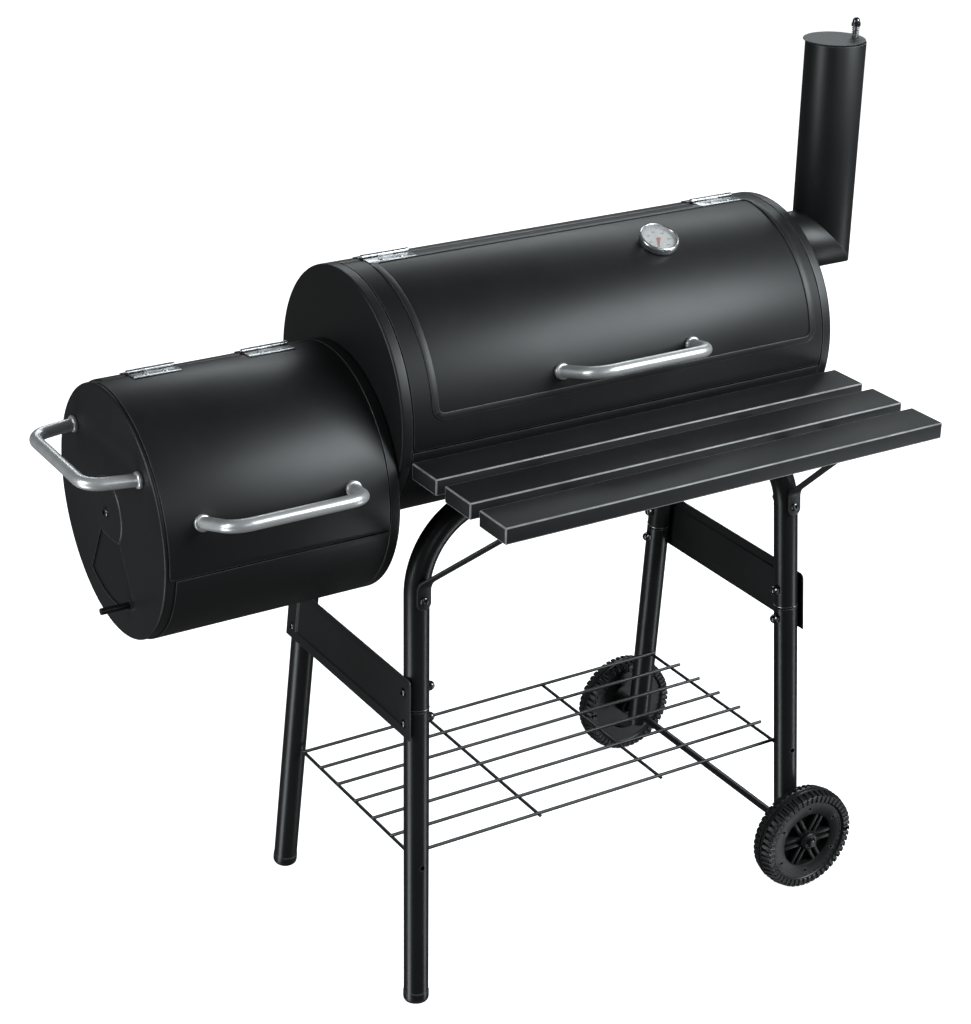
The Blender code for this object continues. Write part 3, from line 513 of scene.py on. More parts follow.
wheelPlastic = paintedFinish("wheelPlastic", {
    **coatValues, "dark": (0.005, 0.005, 0.005), "light": (0.008, 0.008, 0.008), "edge": (0.1, 0.1, 0.1),
    "roughLow": 0.34, "roughHigh": 0.42, "highlightShare": 0.45, "bump": 0.12, "specular": 0.38, "grain": 1100.0,
    "dust": 0.2})
steelValues = {"metallic": 1.0, "stretch": (1, 1, 1), "bump": 0.05}
nutCoat = metalFinish("darkSteel", {
    **steelValues, "dark": (0.13, 0.13, 0.135), "light": (0.2, 0.2, 0.21), "grain": 700.0, "patches": 60.0,
    "roughLow": 0.16, "roughHigh": 0.26})
stainless = metalFinish("brushedStainless", {
    **steelValues, "metallic": 0.66, "dark": (0.74, 0.74, 0.75), "light": (0.88, 0.88, 0.88),
    "stretch": (0.06, 1.0, 1.0), "grain": 900.0, "patches": 60.0, "roughLow": 0.28, "roughHigh": 0.42, "bump": 0.06})
polished = metalFinish("polishedSteel", {
    **steelValues, "metallic": 0.9, "dark": (0.6, 0.6, 0.61), "light": (0.74, 0.74, 0.75), "grain": 600.0,
    "patches": 40.0, "roughLow": 0.2, "roughHigh": 0.3, "bump": 0.03})
zinc = metalFinish("zincPlate", {
    **steelValues, "dark": (0.36, 0.365, 0.375), "light": (0.56, 0.565, 0.575), "grain": 500.0, "patches": 90.0,
    "roughLow": 0.22, "roughHigh": 0.36, "bump": 0.12})
chromeWire = metalFinish("chromeWire", {
    **steelValues, "dark": (0.5, 0.5, 0.51), "light": (0.64, 0.64, 0.65), "grain": 600.0, "patches": 30.0,
    "roughLow": 0.12, "roughHigh": 0.26})
print("finishes made")


# end caps
def capProfile(radius, band):
    curve, lip = sheet["round"], radius - sheet["wall"] - sheet["lap"]
    edge = radius if band else lip
    profile = [(edge - curve - 0.0001, 0.0), (edge - curve, 0.0)]
    profile += [(edge - curve + curve * sin(radians(turn)), -curve * (1 - cos(radians(turn))))
                for turn in (18, 36, 54, 72, 90)]
    if band:
        profile += [(edge, -sheet["rim"]), (lip, -sheet["rim"] - sheet["wall"])]
    return profile + [(lip, -sheet["rim"] - sheet["lip"])]


def endCap(drum, side, band=True):
    cap = turnedPiece(capProfile(drum["radius"], band), steps=120, caps=(True, False))
    if max(cap.data.polygons, key=lambda face: face.area).normal.z < 0:
        flip(cap)
    thicken(cap, sheet["wall"])
    return placedTurn(cap, (drum[side], drum["y"], drum["z"]), (-1 if side == "left" else 1, 0, 0))


smokePort = {"y": (barrel["y"] + firebox["y"]) / 2, "z": (barrel["z"] + firebox["z"]) / 2, "radius": 0.055}
stubLow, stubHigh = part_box("chimney_stub")
chimney = {"radius": (stubHigh.y - stubLow.y) / 2, "wall": 0.0012, "top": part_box("chimney_pipe")[1].z,
           "x": middleOfNode("chimney_pipe").x, "y": (stubLow.y + stubHigh.y) / 2,
           "z": stubHigh.z - 0.0375 + sheet["gap"], "lip": 0.0036, "run": 0.06}
flueHole = {"y": chimney["y"], "z": chimney["z"], "radius": chimney["radius"] - chimney["lip"]}
for name, node, drum, side, port in (
        ("barrel_cap_left", "barrel_end_left", barrel, "left", smokePort),
        ("barrel_cap_right", "barrel_end_right", barrel, "right", flueHole),
        ("firebox_cap_right", "firebox_end_right", firebox, "right", smokePort)):
    cap = endCap(drum, side)
    cutWith(cap, cylinder(port["radius"], 0.02, 64, (drum[side], port["y"], port["z"]), (1, 0, 0)))
    finishPiece(cap, name, "smoker_frame", "black_coat", blackCoat, node)

pivot = middleOfNode("air_damper_rivet")
vent = {"y": pivot.y, "z": pivot.z, "halfDeg": 33.5, "radius": 0.114, "top": 0.031, "topHalf": 0.027,
        "bossRadius": 0.0405, "bossRise": 0.0032}


def ventCutter():
    place = Vector((firebox["left"], vent["y"], vent["z"]))
    cutter = cylinder(vent["radius"], 0.02, 144, place, (1, 0, 0))
    edit(cutter)
    cutAway((0, 0, vent["z"] - vent["top"]), (0, 0, 1))
    turn = radians(vent["halfDeg"])
    low = Vector((0, vent["radius"] * sin(turn), -vent["radius"] * cos(turn)))
    high = Vector((0, vent["topHalf"], -vent["top"]))
    for side in (-1, 1):
        outside = Vector((0, side * abs(low.z - high.z), abs(low.y - high.y)))
        cutAway(place + Vector((0, side * high.y, high.z)), outside)
    clearSelection()
    return cutter


fireLeft = endCap(firebox, "left", band=False)
cutWith(fireLeft, ventCutter())


def ventBoss():
    # a shallow pear-shaped rise round the pivot, straight along the vent's upper edge
    rise, radius = vent["bossRise"], vent["bossRadius"]
    steps = [(radius, -0.0004), (radius, 0.0), (radius - 0.0012, 0.0009), (radius * 0.72, 0.0018),
             (radius * 0.4, rise * 0.86), (radius * 0.22, rise), (0.0035, rise)]
    boss = turnedPiece(steps, steps=72)
    edit(boss)
    bpy.ops.transform.resize(value=(0.93, 1.04, 1))
    clearSelection()
    placedTurn(boss, (firebox["left"], vent["y"], vent["z"]), (-1, 0, 0))
    edit(boss)
    cutAway((0, 0, vent["z"] - vent["top"]), (0, 0, -1))
    clearSelection()
    return boss


finishPiece(joined([fireLeft, ventBoss()]), "firebox_cap_left", "smoker_frame", "black_coat", blackCoat,
            "firebox_end_left")


# lids and the drums' lower sheets
sheetRange = (barrel["left"] + sheet["rim"] + sheet["endGap"], barrel["right"] - sheet["rim"] - sheet["endGap"])
fireLidRange = (firebox["left"] + sheet["round"] + sheet["endGap"], firebox["right"] - sheet["rim"] - sheet["endGap"])
fireBodyRange = (firebox["left"] + sheet["rim"], fireLidRange[1])


def lidAndBody(drum, prefix, lidRange, bodyRange, lidCorner):
    lidDeg = (sheet["bottomDeg"], drum["pinDeg"] - sheet["seamDeg"])
    lid = rolledSheet(drum, lidRange, lidDeg, corners=(lidCorner, 0))
    bodyDeg = (drum["pinDeg"] + sheet["seamDeg"], 360 + sheet["bottomDeg"] - 2 * sheet["seamDeg"])
    body = rolledSheet(drum, bodyRange, bodyDeg)
    finishPiece(body, f"{prefix}_lower_sheet", "smoker_frame", "black_coat", blackCoat, f"{prefix}_body")
    lidNode = "main_lid" if prefix == "barrel" else "firebox_lid"
    finishPiece(lid, f"{prefix}_lid_sheet", lidNode, "black_coat", blackCoat, lidNode)


lidAndBody(barrel, "barrel", sheetRange, sheetRange, 0.01)
lidAndBody(firebox, "firebox", fireLidRange, fireBodyRange, 0.005)

bead = {"left": middleX - 0.266, "right": middleX + 0.279, "lowDeg": 2.8, "highDeg": 92.0, "width": 0.0085,
        "corner": 0.016, "rise": 0.0013}
beadStrip = rolledSheet(barrel, (bead["left"], bead["right"]), (bead["lowDeg"], bead["highDeg"]), outward=True,
                        thickness=bead["rise"], band=bead["width"], bandCorner=bead["corner"])
finishPiece(beadStrip, "lid_bead", "main_lid", "black_coat", blackCoat)
print("drums, caps and lids made")


# screws and nuts, each modelled once
def shapedTurn(shares, radius, height, steps=24):
    return turnedPiece([(radius * out, height * up) for out, up in shares], steps=steps)


screwShape = [(1.0, 0.0), (1.0, 0.25), (0.93, 0.6), (0.74, 0.88), (0.5, 1.0), (0.42, 0.97), (0.38, 0.35),
              (0.05, 0.3)]
flatsShape = [(0.9, 0.0), (1.0, 0.06), (1.0, 0.4), (0.9, 0.46)]
domeShape = [(0.8, 0.42), (0.8, 0.58), (0.74, 0.76), (0.56, 0.91), (0.3, 0.985), (0.08, 1.0)]
boltHead = shapedTurn(screwShape, 0.0056, 0.003)
hingeScrew = shapedTurn(screwShape, 0.0042, 0.0014)
capNut = joined([shapedTurn(flatsShape, 0.007, 0.0095, 6), shapedTurn(domeShape, 0.007, 0.0095)])


def hardwareSet(model, places, name, body, slotName, material):
    made = [copyOf(model, facingAlong(way, place)) for place, way in places]
    finishPiece(joined(made), name, body, slotName, material)


# hinges
hingeValues = {"leafDeg": 8.6, "knuckle": 0.0028, "pin": 0.0015, "proud": 0.001, "corner": 0.002,
               "screwDeg": 5.9, "screwInset": 0.3}


def knuckle(low, high, pinPlace, pinDeg, away):
    rim, reach = hingeValues["knuckle"], hingeValues["knuckle"] * 1.4
    roller = turnedPiece([(rim * 0.55, low), (rim * 0.9, low), (rim, low + 0.0003), (rim, high - 0.0003),
                          (rim * 0.9, high), (rim * 0.55, high)], steps=24)
    tongue = block((high - low, reach, sheet["wall"]), (0, away * reach * 0.75, -rim + sheet["wall"] * 0.55),
                   0.0002, 1)
    tilt = Matrix.Translation(pinPlace + Vector(((low + high) / 2, 0, 0)))
    tongue.data.transform(tilt @ Matrix.Rotation(-radians(pinDeg - 90), 4, "X"))
    return [placedTurn(roller, pinPlace, (1, 0, 0)), tongue]


def hinge(drum, prefix, side, cadPrefix, lidBody):
    leafLow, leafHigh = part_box(f"{cadPrefix}_lid_leaf_{side}")
    left, right = leafLow.x, leafHigh.x
    width, pinDeg, third = right - left, drum["pinDeg"], (right - left) / 3
    clearDeg = degrees((hingeValues["knuckle"] + 2 * sheet["gap"]) / drum["radius"])
    pinPlace = onDrum(drum, (left + right) / 2, pinDeg, sheet["gap"] + hingeValues["knuckle"])
    top = sheet["gap"] + sheet["wall"]
    corner = hingeValues["corner"]
    for leaf, away, body, corners, zones in (
            ("lid", -1, lidBody, (corner, 0), [(-third / 2, third / 2)]),
            ("body", 1, "smoker_frame", (0, corner), [(-width / 2, -third / 2 - sheet["gap"]),
                                                     (third / 2 + sheet["gap"], width / 2)])):
        near, far = pinDeg + away * clearDeg, pinDeg + away * hingeValues["leafDeg"]
        parts = [rolledSheet(drum, (left, right), (min(near, far), max(near, far)), corners, past=top, rowDeg=2)]
        for low, high in zones:
            parts += knuckle(low, high, pinPlace, pinDeg, away)
        finishPiece(joined(parts), f"{prefix}_{leaf}_leaf_{side}", body, "zinc", zinc,
                    f"{cadPrefix}_{leaf}_leaf_{side}")
        places, deg = [], pinDeg + away * hingeValues["screwDeg"]
        for share in (hingeValues["screwInset"], 1 - hingeValues["screwInset"]):
            seat = onDrum(drum, left + width * share, deg, top - 0.0001)
            places.append((seat, (0, -cos(radians(deg)), sin(radians(deg)))))
        hardwareSet(hingeScrew, places, f"{prefix}_{leaf}_screws_{side}", body, "zinc", zinc)
    half = width / 2 + hingeValues["proud"]
    rod = roundedRod(hingeValues["pin"], -half, half, hingeValues["pin"] * 0.3, 0.0004, 16)
    finishPiece(placedTurn(rod, pinPlace, (1, 0, 0)), f"{prefix}_pin_{side}", "smoker_frame", "zinc", zinc,
                cadPrefix.replace("_hinge", "_hinge_pin") + "_" + side)


for side in ("left", "right"):
    hinge(barrel, "barrel_hinge", side, "main_hinge", "main_lid")
    hinge(firebox, "firebox_hinge", side, "firebox_hinge", "firebox_lid")
print("hinges made")


# handles
handleValues = {"span": 0.185, "standOff": 0.0579, "slant": 0.013, "radius": 0.0075, "bend": 0.026,
                "collar": 0.0098, "collarLength": 0.005, "bore": 0.007, "deg": 13.5, "sideRise": 0.0092}


def handle(name, node, body, middle, along, outward):
    middle, along, outward = Vector(middle), Vector(along), Vector(outward)
    feet = [middle + along * (side * handleValues["span"] / 2) + outward * sheet["gap"] for side in (-1, 1)]
    raised = [foot + outward * handleValues["standOff"] - along * (side * handleValues["slant"])
              for foot, side in zip(feet, (-1, 1))]
    parts = [tubeAlong([feet[0], *raised, feet[1]], handleValues["radius"], handleValues["bend"], 40, 14)]
    rim, length, bore = handleValues["collar"], handleValues["collarLength"], handleValues["bore"]
    for foot in feet:
        ring = turnedPiece([
            (bore, 0.0), (rim - 0.0006, 0.0), (rim, 0.0006), (rim, length - 0.0016),
            (rim - 0.0005, length - 0.0006), (rim - 0.0016, length), (bore, length)], steps=40)
        parts.append(placedTurn(ring, foot, outward))
    finishPiece(joined(parts), name, body, "stainless", stainless, node, smoothDeg=50)


handleTurn = radians(handleValues["deg"])
handleOut = (0, -cos(handleTurn), sin(handleTurn))
handle("lid_handle_bar", "main_lid_handle", "main_lid", onDrum(barrel, middleX, handleValues["deg"]),
       (1, 0, 0), handleOut)
handle("firebox_lid_handle_bar", "firebox_lid_handle", "firebox_lid",
       onDrum(firebox, middleOfNode("firebox_lid_handle").x, handleValues["deg"]), (1, 0, 0), handleOut)
sideHandleY, sideHandleZ = middleOfNode("firebox_side_handle").y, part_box("firebox_side_handle")[0].z
handle("firebox_side_handle_bar", "firebox_side_handle", "smoker_frame",
       (firebox["left"], sideHandleY, sideHandleZ + handleValues["sideRise"]), (0, 1, 0), (-1, 0, 0))
print("handles made")


# thermometer
gauge = {"x": middleX + 0.097, "deg": 66.0, "radius": 0.025, "height": 0.0095, "rim": 0.003, "depth": 0.006,
         "core": 0.004, "dial": 0.0005, "rest": -30.0, "firstDeg": 240, "sweepDeg": 300, "ticks": 31,
         "numbers": 7, "step": 50, "first": 50, "figure": 0.0034}
gaugeTurn = radians(gauge["deg"])
gaugeOut = Vector((0, -cos(gaugeTurn), sin(gaugeTurn)))
gaugeBase = onDrum(barrel, gauge["x"], gauge["deg"], sheet["gap"])
gaugeInner = gauge["radius"] - gauge["rim"]
gaugeFloor = gauge["height"] - gauge["depth"]


def gaugeFrame(height):
    across, upSlope = Vector((1, 0, 0)), gaugeOut.cross(Vector((1, 0, 0)))
    turn = Matrix((across, upSlope, gaugeOut)).transposed().to_4x4()
    return Matrix.Translation(gaugeBase + gaugeOut * height) @ turn


def onGauge(thing, height, turn=0.0):
    thing.data.transform(gaugeFrame(height) @ Matrix.Rotation(turn, 4, "Z"))
    return thing


def gaugeCase():
    r, h, inner, core = gauge["radius"], gauge["height"], gaugeInner, gauge["core"]
    case = turnedPiece([
        (core, 0.0), (r - 0.0015, 0.0), (r - 0.0015, 0.002), (r - 0.0004, 0.0028), (r, 0.0042), (r, h - 0.0028),
        (r - 0.0003, h - 0.0015), (r - 0.001, h - 0.0004), (r - 0.0019, h), (inner + 0.0011, h),
        (inner + 0.0004, h - 0.0004), (inner, h - 0.0014), (inner, gaugeFloor), (core, gaugeFloor)], steps=72)
    finishPiece(onGauge(case, 0), "gauge_case", "main_lid", "stainless", polished, "thermometer_case", smoothDeg=40)


def gaugeDial():
    rim, thick = gaugeInner - 0.0004, gauge["dial"]
    disc = turnedPiece([(0.003, 0.0), (rim, 0.0), (rim, thick), (0.003, thick)], steps=72)
    finishPiece(onGauge(disc, gaugeFloor + sheet["gap"]), "gauge_dial", "main_lid", "dial_white", dialPaint,
                "thermometer_dial")


def gaugeMarks():
    parts, top = [], gaugeFloor + sheet["gap"] + gauge["dial"]
    for number in range(gauge["ticks"]):
        turn = radians(gauge["firstDeg"] - number * gauge["sweepDeg"] / (gauge["ticks"] - 1))
        size = (0.003, 0.00055, 0.0001) if number % 5 == 0 else (0.0018, 0.0003, 0.0001)
        tick = block(size, (gaugeInner - 0.0022 - size[0] / 2, 0, 0.00005))
        parts.append(onGauge(tick, top, turn))
    for number in range(gauge["numbers"]):
        turn = radians(gauge["firstDeg"] - number * gauge["sweepDeg"] / (gauge["numbers"] - 1))
        clearSelection()
        bpy.ops.object.text_add()
        figure = bpy.context.object
        figure.data.body = str(gauge["first"] + number * gauge["step"])
        figure.data.size = gauge["figure"]
        figure.data.align_x = figure.data.align_y = "CENTER"
        figure.data.extrude = 0.00004
        bpy.ops.object.convert(target="MESH")
        reach = gaugeInner - 0.0084
        parts.append(onGauge(shifted(figure, (reach * cos(turn), reach * sin(turn), 0.00005)), top))
    inner, outer = gaugeInner - 0.0018, gaugeInner - 0.0015
    ring = turnedPiece([(inner, 0.0), (outer, 0.0), (outer, 0.0001), (inner, 0.0001), (inner, 0.0)], steps=64,
                       closed=True)
    parts.append(onGauge(ring, top))
    finishPiece(joined(parts), "gauge_marks", "main_lid", "black_coat", dialInk)


def gaugeNeedle():
    needle = newPlane()
    bpy.ops.transform.resize(value=(0.003, 0.0062, 1))
    setPlace(needle)
    edit(needle)
    choose(needle, "EDGE", lambda edge: middleOf(edge).y < -0.002)
    extrudeBy((0, -0.0122, 0))
    scaleBy((0.14, 1, 1))
    choose(needle, "EDGE", lambda edge: middleOf(edge).y > 0.002)
    scaleBy((0.7, 1, 1))
    clearSelection()
    thicken(needle, 0.0006, 0.0)
    hub = turnedPiece([(0.0024, -0.0003), (0.0024, 0.0006), (0.0019, 0.0009), (0.0004, 0.001)], steps=32)
    return joined([needle, hub])


plainValues = {**coatValues, "highlightShare": 0.0, "dust": 0.0}
dialPaint = paintedFinish("dialPaint", {
    **plainValues, "dark": (0.62, 0.62, 0.61), "light": (0.72, 0.72, 0.71), "dustColour": (0.5, 0.5, 0.5),
    "dust": 0.05, "roughLow": 0.35, "roughHigh": 0.42, "bump": 0.02})
dialInk = paintedFinish("dialInk", {**plainValues, "dark": (0.03, 0.03, 0.03), "light": (0.05, 0.05, 0.05)})
pointerRed = paintedFinish("pointerRed", {
    **plainValues, "dark": (0.55, 0.02, 0.012), "light": (0.7, 0.03, 0.018), "roughLow": 0.3,
    "roughHigh": 0.38})


def glassFinish():
    made, tree, shader, place = newMaterial("lensGlass")
    smear = placeGroup(tree, fineGrain, place, Grain=300.0, Patches=60.0)["Patch"]
    feed(tree, shader["Alpha"], 0.14)  # thin clear cover that lets light in
    feed(tree, shader["Base Color"], mixColour(tree, smear, (0.96, 0.97, 0.97), (1.0, 1.0, 1.0)))
    feed(tree, shader["Roughness"], rangeNode(tree, smear, 0.0, 1.0, 0.0, 0.03))
    return made


gaugeCase()
gaugeDial()
gaugeMarks()
needle = onGauge(gaugeNeedle(), gaugeFloor + 0.0018, radians(gauge["rest"]))
finishPiece(needle, "gauge_needle", "thermometer_pointer", "pointer_red", pointerRed, "thermometer_needle")
lens = turnedPiece([(gaugeInner - 0.0005, 0.0), (gaugeInner - 0.0005, 0.0006), (gaugeInner * 0.8, 0.001),
                    (gaugeInner * 0.5, 0.0014), (gaugeInner * 0.15, 0.0016)], steps=64)
finishPiece(onGauge(lens, gaugeFloor + 0.0031), "gauge_lens", "main_lid", "lens_glass", glassFinish(),
            "thermometer_lens")
probe = turnedPiece([(0.0008, -0.055), (0.0024, -0.0545), (0.0035, -0.052), (0.0035, -0.0003)], steps=24)
finishPiece(onGauge(probe, 0), "gauge_probe", "main_lid", "stainless", stainless, "thermometer_probe")
print("thermometer made")


# chimney
def mitredPipe(start, end, planeAt, planeNormal, keepOuter):  # run past the mitre, then cut along it
    way = (end - start).normalized()
    pipe = newCircle(96, chimney["radius"])
    placedTurn(pipe, start, way)
    edit(pipe)
    extrudeBy(end - start)
    cutAway(planeAt, planeNormal, False, keepOuter)
    selectAll()
    faceOut()
    clearSelection()
    outwards = sum((face.center - (start + way * (face.center - start).dot(way))).dot(face.normal)
                   for face in pipe.data.polygons)
    if outwards < 0:
        flip(pipe)
    thicken(pipe, chimney["wall"])
    softenEdges(pipe, 0.0003, 2, 30)
    return pipe


mitre = Vector((chimney["x"], chimney["y"], chimney["z"]))
slant = Vector((1, 0, 1)).normalized()
stub = mitredPipe(Vector((barrel["right"] + sheet["gap"], mitre.y, mitre.z)), mitre + Vector((chimney["run"], 0, 0)),
                  mitre - slant * sheet["gap"] / 2, slant, False)
finishPiece(stub, "chimney_stub_pipe", "smoker_frame", "black_coat", blackCoat, "chimney_stub", smoothDeg=30)
upright = mitredPipe(mitre - Vector((0, 0, chimney["run"])), Vector((mitre.x, mitre.y, chimney["top"])),
                     mitre + slant * sheet["gap"] / 2, slant, True)
damper = {"radius": 0.0385, "edge": 0.0004, "tabWidth": 0.014, "tab": 0.002, "tabDrop": 0.01, "tabPast": 0.008,
          "hole": 0.0034, "coil": 0.0042, "wire": 0.00055, "turns": 5, "steps": 20}
boltX, boltY, _ = middleOfNode("damper_acorn_nut")
tabStart, tabEnd = boltX - damper["tabPast"], chimney["x"] + chimney["radius"] - 0.0006
tab = block((tabEnd - tabStart, damper["tabWidth"], damper["tab"]),
            ((tabEnd + tabStart) / 2, boltY, chimney["top"] - damper["tabDrop"] - damper["tab"] / 2), 0.0004)
finishPiece(joined([upright, tab]), "chimney_flue_pipe", "smoker_frame", "black_coat", blackCoat, "chimney_pipe",
            smoothDeg=30)


def flueDamper():
    low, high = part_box("chimney_damper")
    centre, half, edge = (low + high) / 2, (high.z - low.z) / 2, damper["edge"]
    disc = shifted(roundedRod(damper["radius"], -half, half, edge, edge, 96), centre)
    cutWith(disc, cylinder(damper["hole"], 0.01, 32, (boltX, boltY, centre.z), (0, 0, 1)))
    finishPiece(disc, "flue_damper_disc", "chimney_damper", "black_coat", blackCoat, "chimney_damper")


def damperFastening():
    low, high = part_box("damper_bolt")
    bolt = shifted(roundedRod(0.003, low.z, high.z, 0.0008, 0.0006, 24), (boltX, boltY, 0))
    finishPiece(bolt, "damper_bolt_shank", "smoker_frame", "zinc", zinc, "damper_bolt")
    low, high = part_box("damper_acorn_nut")
    nut = turnedPiece([
        (0.005, 0.0), (0.0056, 0.0005), (0.0056, 0.0042), (0.005, 0.005), (0.0046, 0.0052), (0.0046, 0.0068),
        (0.0041, 0.0086), (0.003, 0.01), (0.0014, 0.0108), (0.0004, high.z - low.z)], steps=24)
    finishPiece(shifted(nut, (boltX, boltY, low.z)), "damper_dome_nut", "smoker_frame", "zinc", nutCoat,
                "damper_acorn_nut")
    low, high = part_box("damper_spring")
    spring = newCircle(8, damper["wire"], rotation=(pi / 2, 0, 0))
    setPlace(spring)
    shifted(spring, (damper["coil"], 0, 0))
    climb = spring.modifiers.new("climb", "SCREW")
    climb.axis = "Z"
    climb.angle = 2 * pi * damper["turns"]
    climb.steps = climb.render_steps = damper["steps"] * damper["turns"]
    climb.screw_offset = high.z - low.z - 2 * damper["wire"]
    climb.use_merge_vertices = False
    applyAll(spring)
    edit(spring)
    bpy.ops.mesh.fill_holes(sides=0)
    faceOut()
    clearSelection()
    finishPiece(shifted(spring, (boltX, boltY, low.z + damper["wire"])), "damper_coil_spring", "smoker_frame",
                "zinc", zinc, "damper_spring", smoothDeg=60)


flueDamper()
damperFastening()

# air damper: the flap and its lever, and the pivot screw
flap = {"half": 0.0006, "lap": 0.005, "headShare": 0.94, "leverDeg": 23.0, "leverInset": 0.0055}
pivotPlace = (firebox["left"] - vent["bossRise"] + 0.0002, vent["y"], vent["z"])
finishPiece(placedTurn(shapedTurn(screwShape, 0.0072, 0.0032), pivotPlace, (-1, 0, 0)), "air_damper_pivot_screw",
            "smoker_frame", "zinc", nutCoat, "air_damper_rivet")


def airDamper():
    low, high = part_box("air_damper")
    wide = vent["radius"] + flap["lap"]
    place = Vector((high.x - flap["half"], vent["y"], vent["z"]))
    plate = cylinder(wide, flap["half"], 144, place, (-1, 0, 0))
    edit(plate)
    turn = radians(vent["halfDeg"] + degrees(flap["lap"] / vent["radius"]))
    headRadius = sqrt(vent["topHalf"] ** 2 + vent["top"] ** 2) + flap["lap"]
    for side in (-1, 1):
        corner = Vector((0, side * wide * sin(turn), -wide * cos(turn)))
        along = corner - Vector((0, side * headRadius * flap["headShare"], 0))
        cutAway(place + corner, (0, side * abs(along.z), abs(along.y)))
    cutAway(place, (0, 0, 1))
    clearSelection()
    cutWith(plate, cylinder(headRadius, flap["half"], 72, place, (-1, 0, 0)), "UNION")
    leverTurn, reach = radians(flap["leverDeg"]), vent["radius"] - flap["leverInset"]
    foot = place - Vector((0, reach * sin(leverTurn), reach * cos(leverTurn)))
    long = foot.x - low.x
    rod = turnedPiece([(0.004, 0.0), (0.004, long - 0.0008), (0.0037, long - 0.0002), (0.0032, long)], steps=32)
    return joined([plate, placedTurn(rod, foot, (-1, 0, 0))])


finishPiece(airDamper(), "air_damper_flap", "air_damper", "black_coat", tubeCoat, "air_damper")
print("chimney and dampers made")


# stand: legs, arches, panels, rack
stand = {"tube": 0.0155, "joint": 0.3925, "bend": 0.108, "archDeg": 47.0, "frontLean": 0.092, "rearLean": 0.098,
         "leftSplay": 0.054, "rightSplay": 0.014, "leftInset": 0.0339, "rightInset": 0.0383, "foot": 0.014,
         "holeZ": 0.1885, "hole": 0.0034}
archOffset = barrel["radius"] + 2 * sheet["gap"] + stand["tube"]
archY = archOffset * sin(radians(stand["archDeg"]))
archZ = barrel["z"] - archOffset * cos(radians(stand["archDeg"]))
halfBarrel = (barrel["right"] - barrel["left"]) / 2


def legAt(side, end, height):
    below = archZ - height
    x = (stand["leftInset"] - halfBarrel - stand["leftSplay"] * below if side == "left"
         else halfBarrel - stand["rightInset"] + stand["rightSplay"] * below)
    y = -(archY + stand["frontLean"] * below) if end == "front" else archY + stand["rearLean"] * below
    return fromMiddle(x, y, height)


def legArch(end):
    radius = stand["tube"]
    joints = {side: legAt(side, end, stand["joint"]) for side in ("left", "right")}
    tops = {side: legAt(side, end, archZ) for side in joints}
    ways = {side: (tops[side] - joints[side]).normalized() for side in joints}
    starts = {side: joints[side] + ways[side] * 0.0008 for side in joints}
    arch = tubeAlong([starts["left"], tops["left"], tops["right"], starts["right"]], radius, stand["bend"], 48, 28)
    softenEdges(arch, 0.0012, 3, 60)
    rings = []
    for side in joints:
        ring = turnedPiece([(radius - 0.0004, 0.0), (radius + 0.0005, 0.0005), (radius + 0.0005, 0.0013),
                            (radius - 0.0004, 0.0018)], steps=48, closed=True)
        rings.append(placedTurn(ring, joints[side] + ways[side] * 0.001, ways[side]))
    finishPiece(joined(rings), f"{end}_joint_rings", "smoker_frame", "zinc", zinc, smoothDeg=60)
    finishPiece(arch, f"{end}_arch_tube", "smoker_frame", "black_coat", tubeCoat, f"{end}_leg_arch", smoothDeg=40)


def leg(end, side):
    foot = legAt(side, end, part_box(f"{end}_{side}_leg")[0].z)
    top = legAt(side, end, stand["joint"])
    way, long, radius = (top - foot).normalized(), (top - foot).length - 0.0006, stand["tube"]
    made = placedTurn(turnedPiece([(radius - 0.002, 0.002), (radius, 0.004), (radius, long - 0.0008),
                                   (radius - 0.0008, long)], steps=48), foot, way)
    if side == "left":  # a moulded foot cap
        cap = turnedPiece([(radius - 0.0045, 0.0006), (radius - 0.0012, 0.0012), (radius + 0.0002, 0.0034),
                           (radius + 0.0006, 0.006), (radius + 0.0006, stand["foot"]),
                           (radius - 0.0008, stand["foot"] + 0.0008)], steps=48)
        edit(placedTurn(cap, foot, way))
        cutAway((0, 0, 0.0001), (0, 0, 1), keepOuter=True)
        clearSelection()
        made = joined([made, cap])
    if end == "front":  # a spare bolt hole facing front
        spot = legAt(side, end, stand["holeZ"]) - Vector((0, radius, 0))
        cutWith(made, cylinder(stand["hole"], 0.006, 24, spot, (0, 1, 0)))
    finishPiece(made, f"{end}_{side}_leg_tube", "smoker_frame", "black_coat", tubeCoat, f"{end}_{side}_leg",
                smoothDeg=40)


for end in ("front", "rear"):
    legArch(end)
    leg(end, "left")
    leg(end, "right")

panel = {"low": 0.36, "height": 0.077, "band": 0.012, "end": 0.0235, "step": 0.0023, "slope": 0.0016,
         "sheet": 0.0015, "corner": 0.006, "bolts": (0.417, 0.377)}


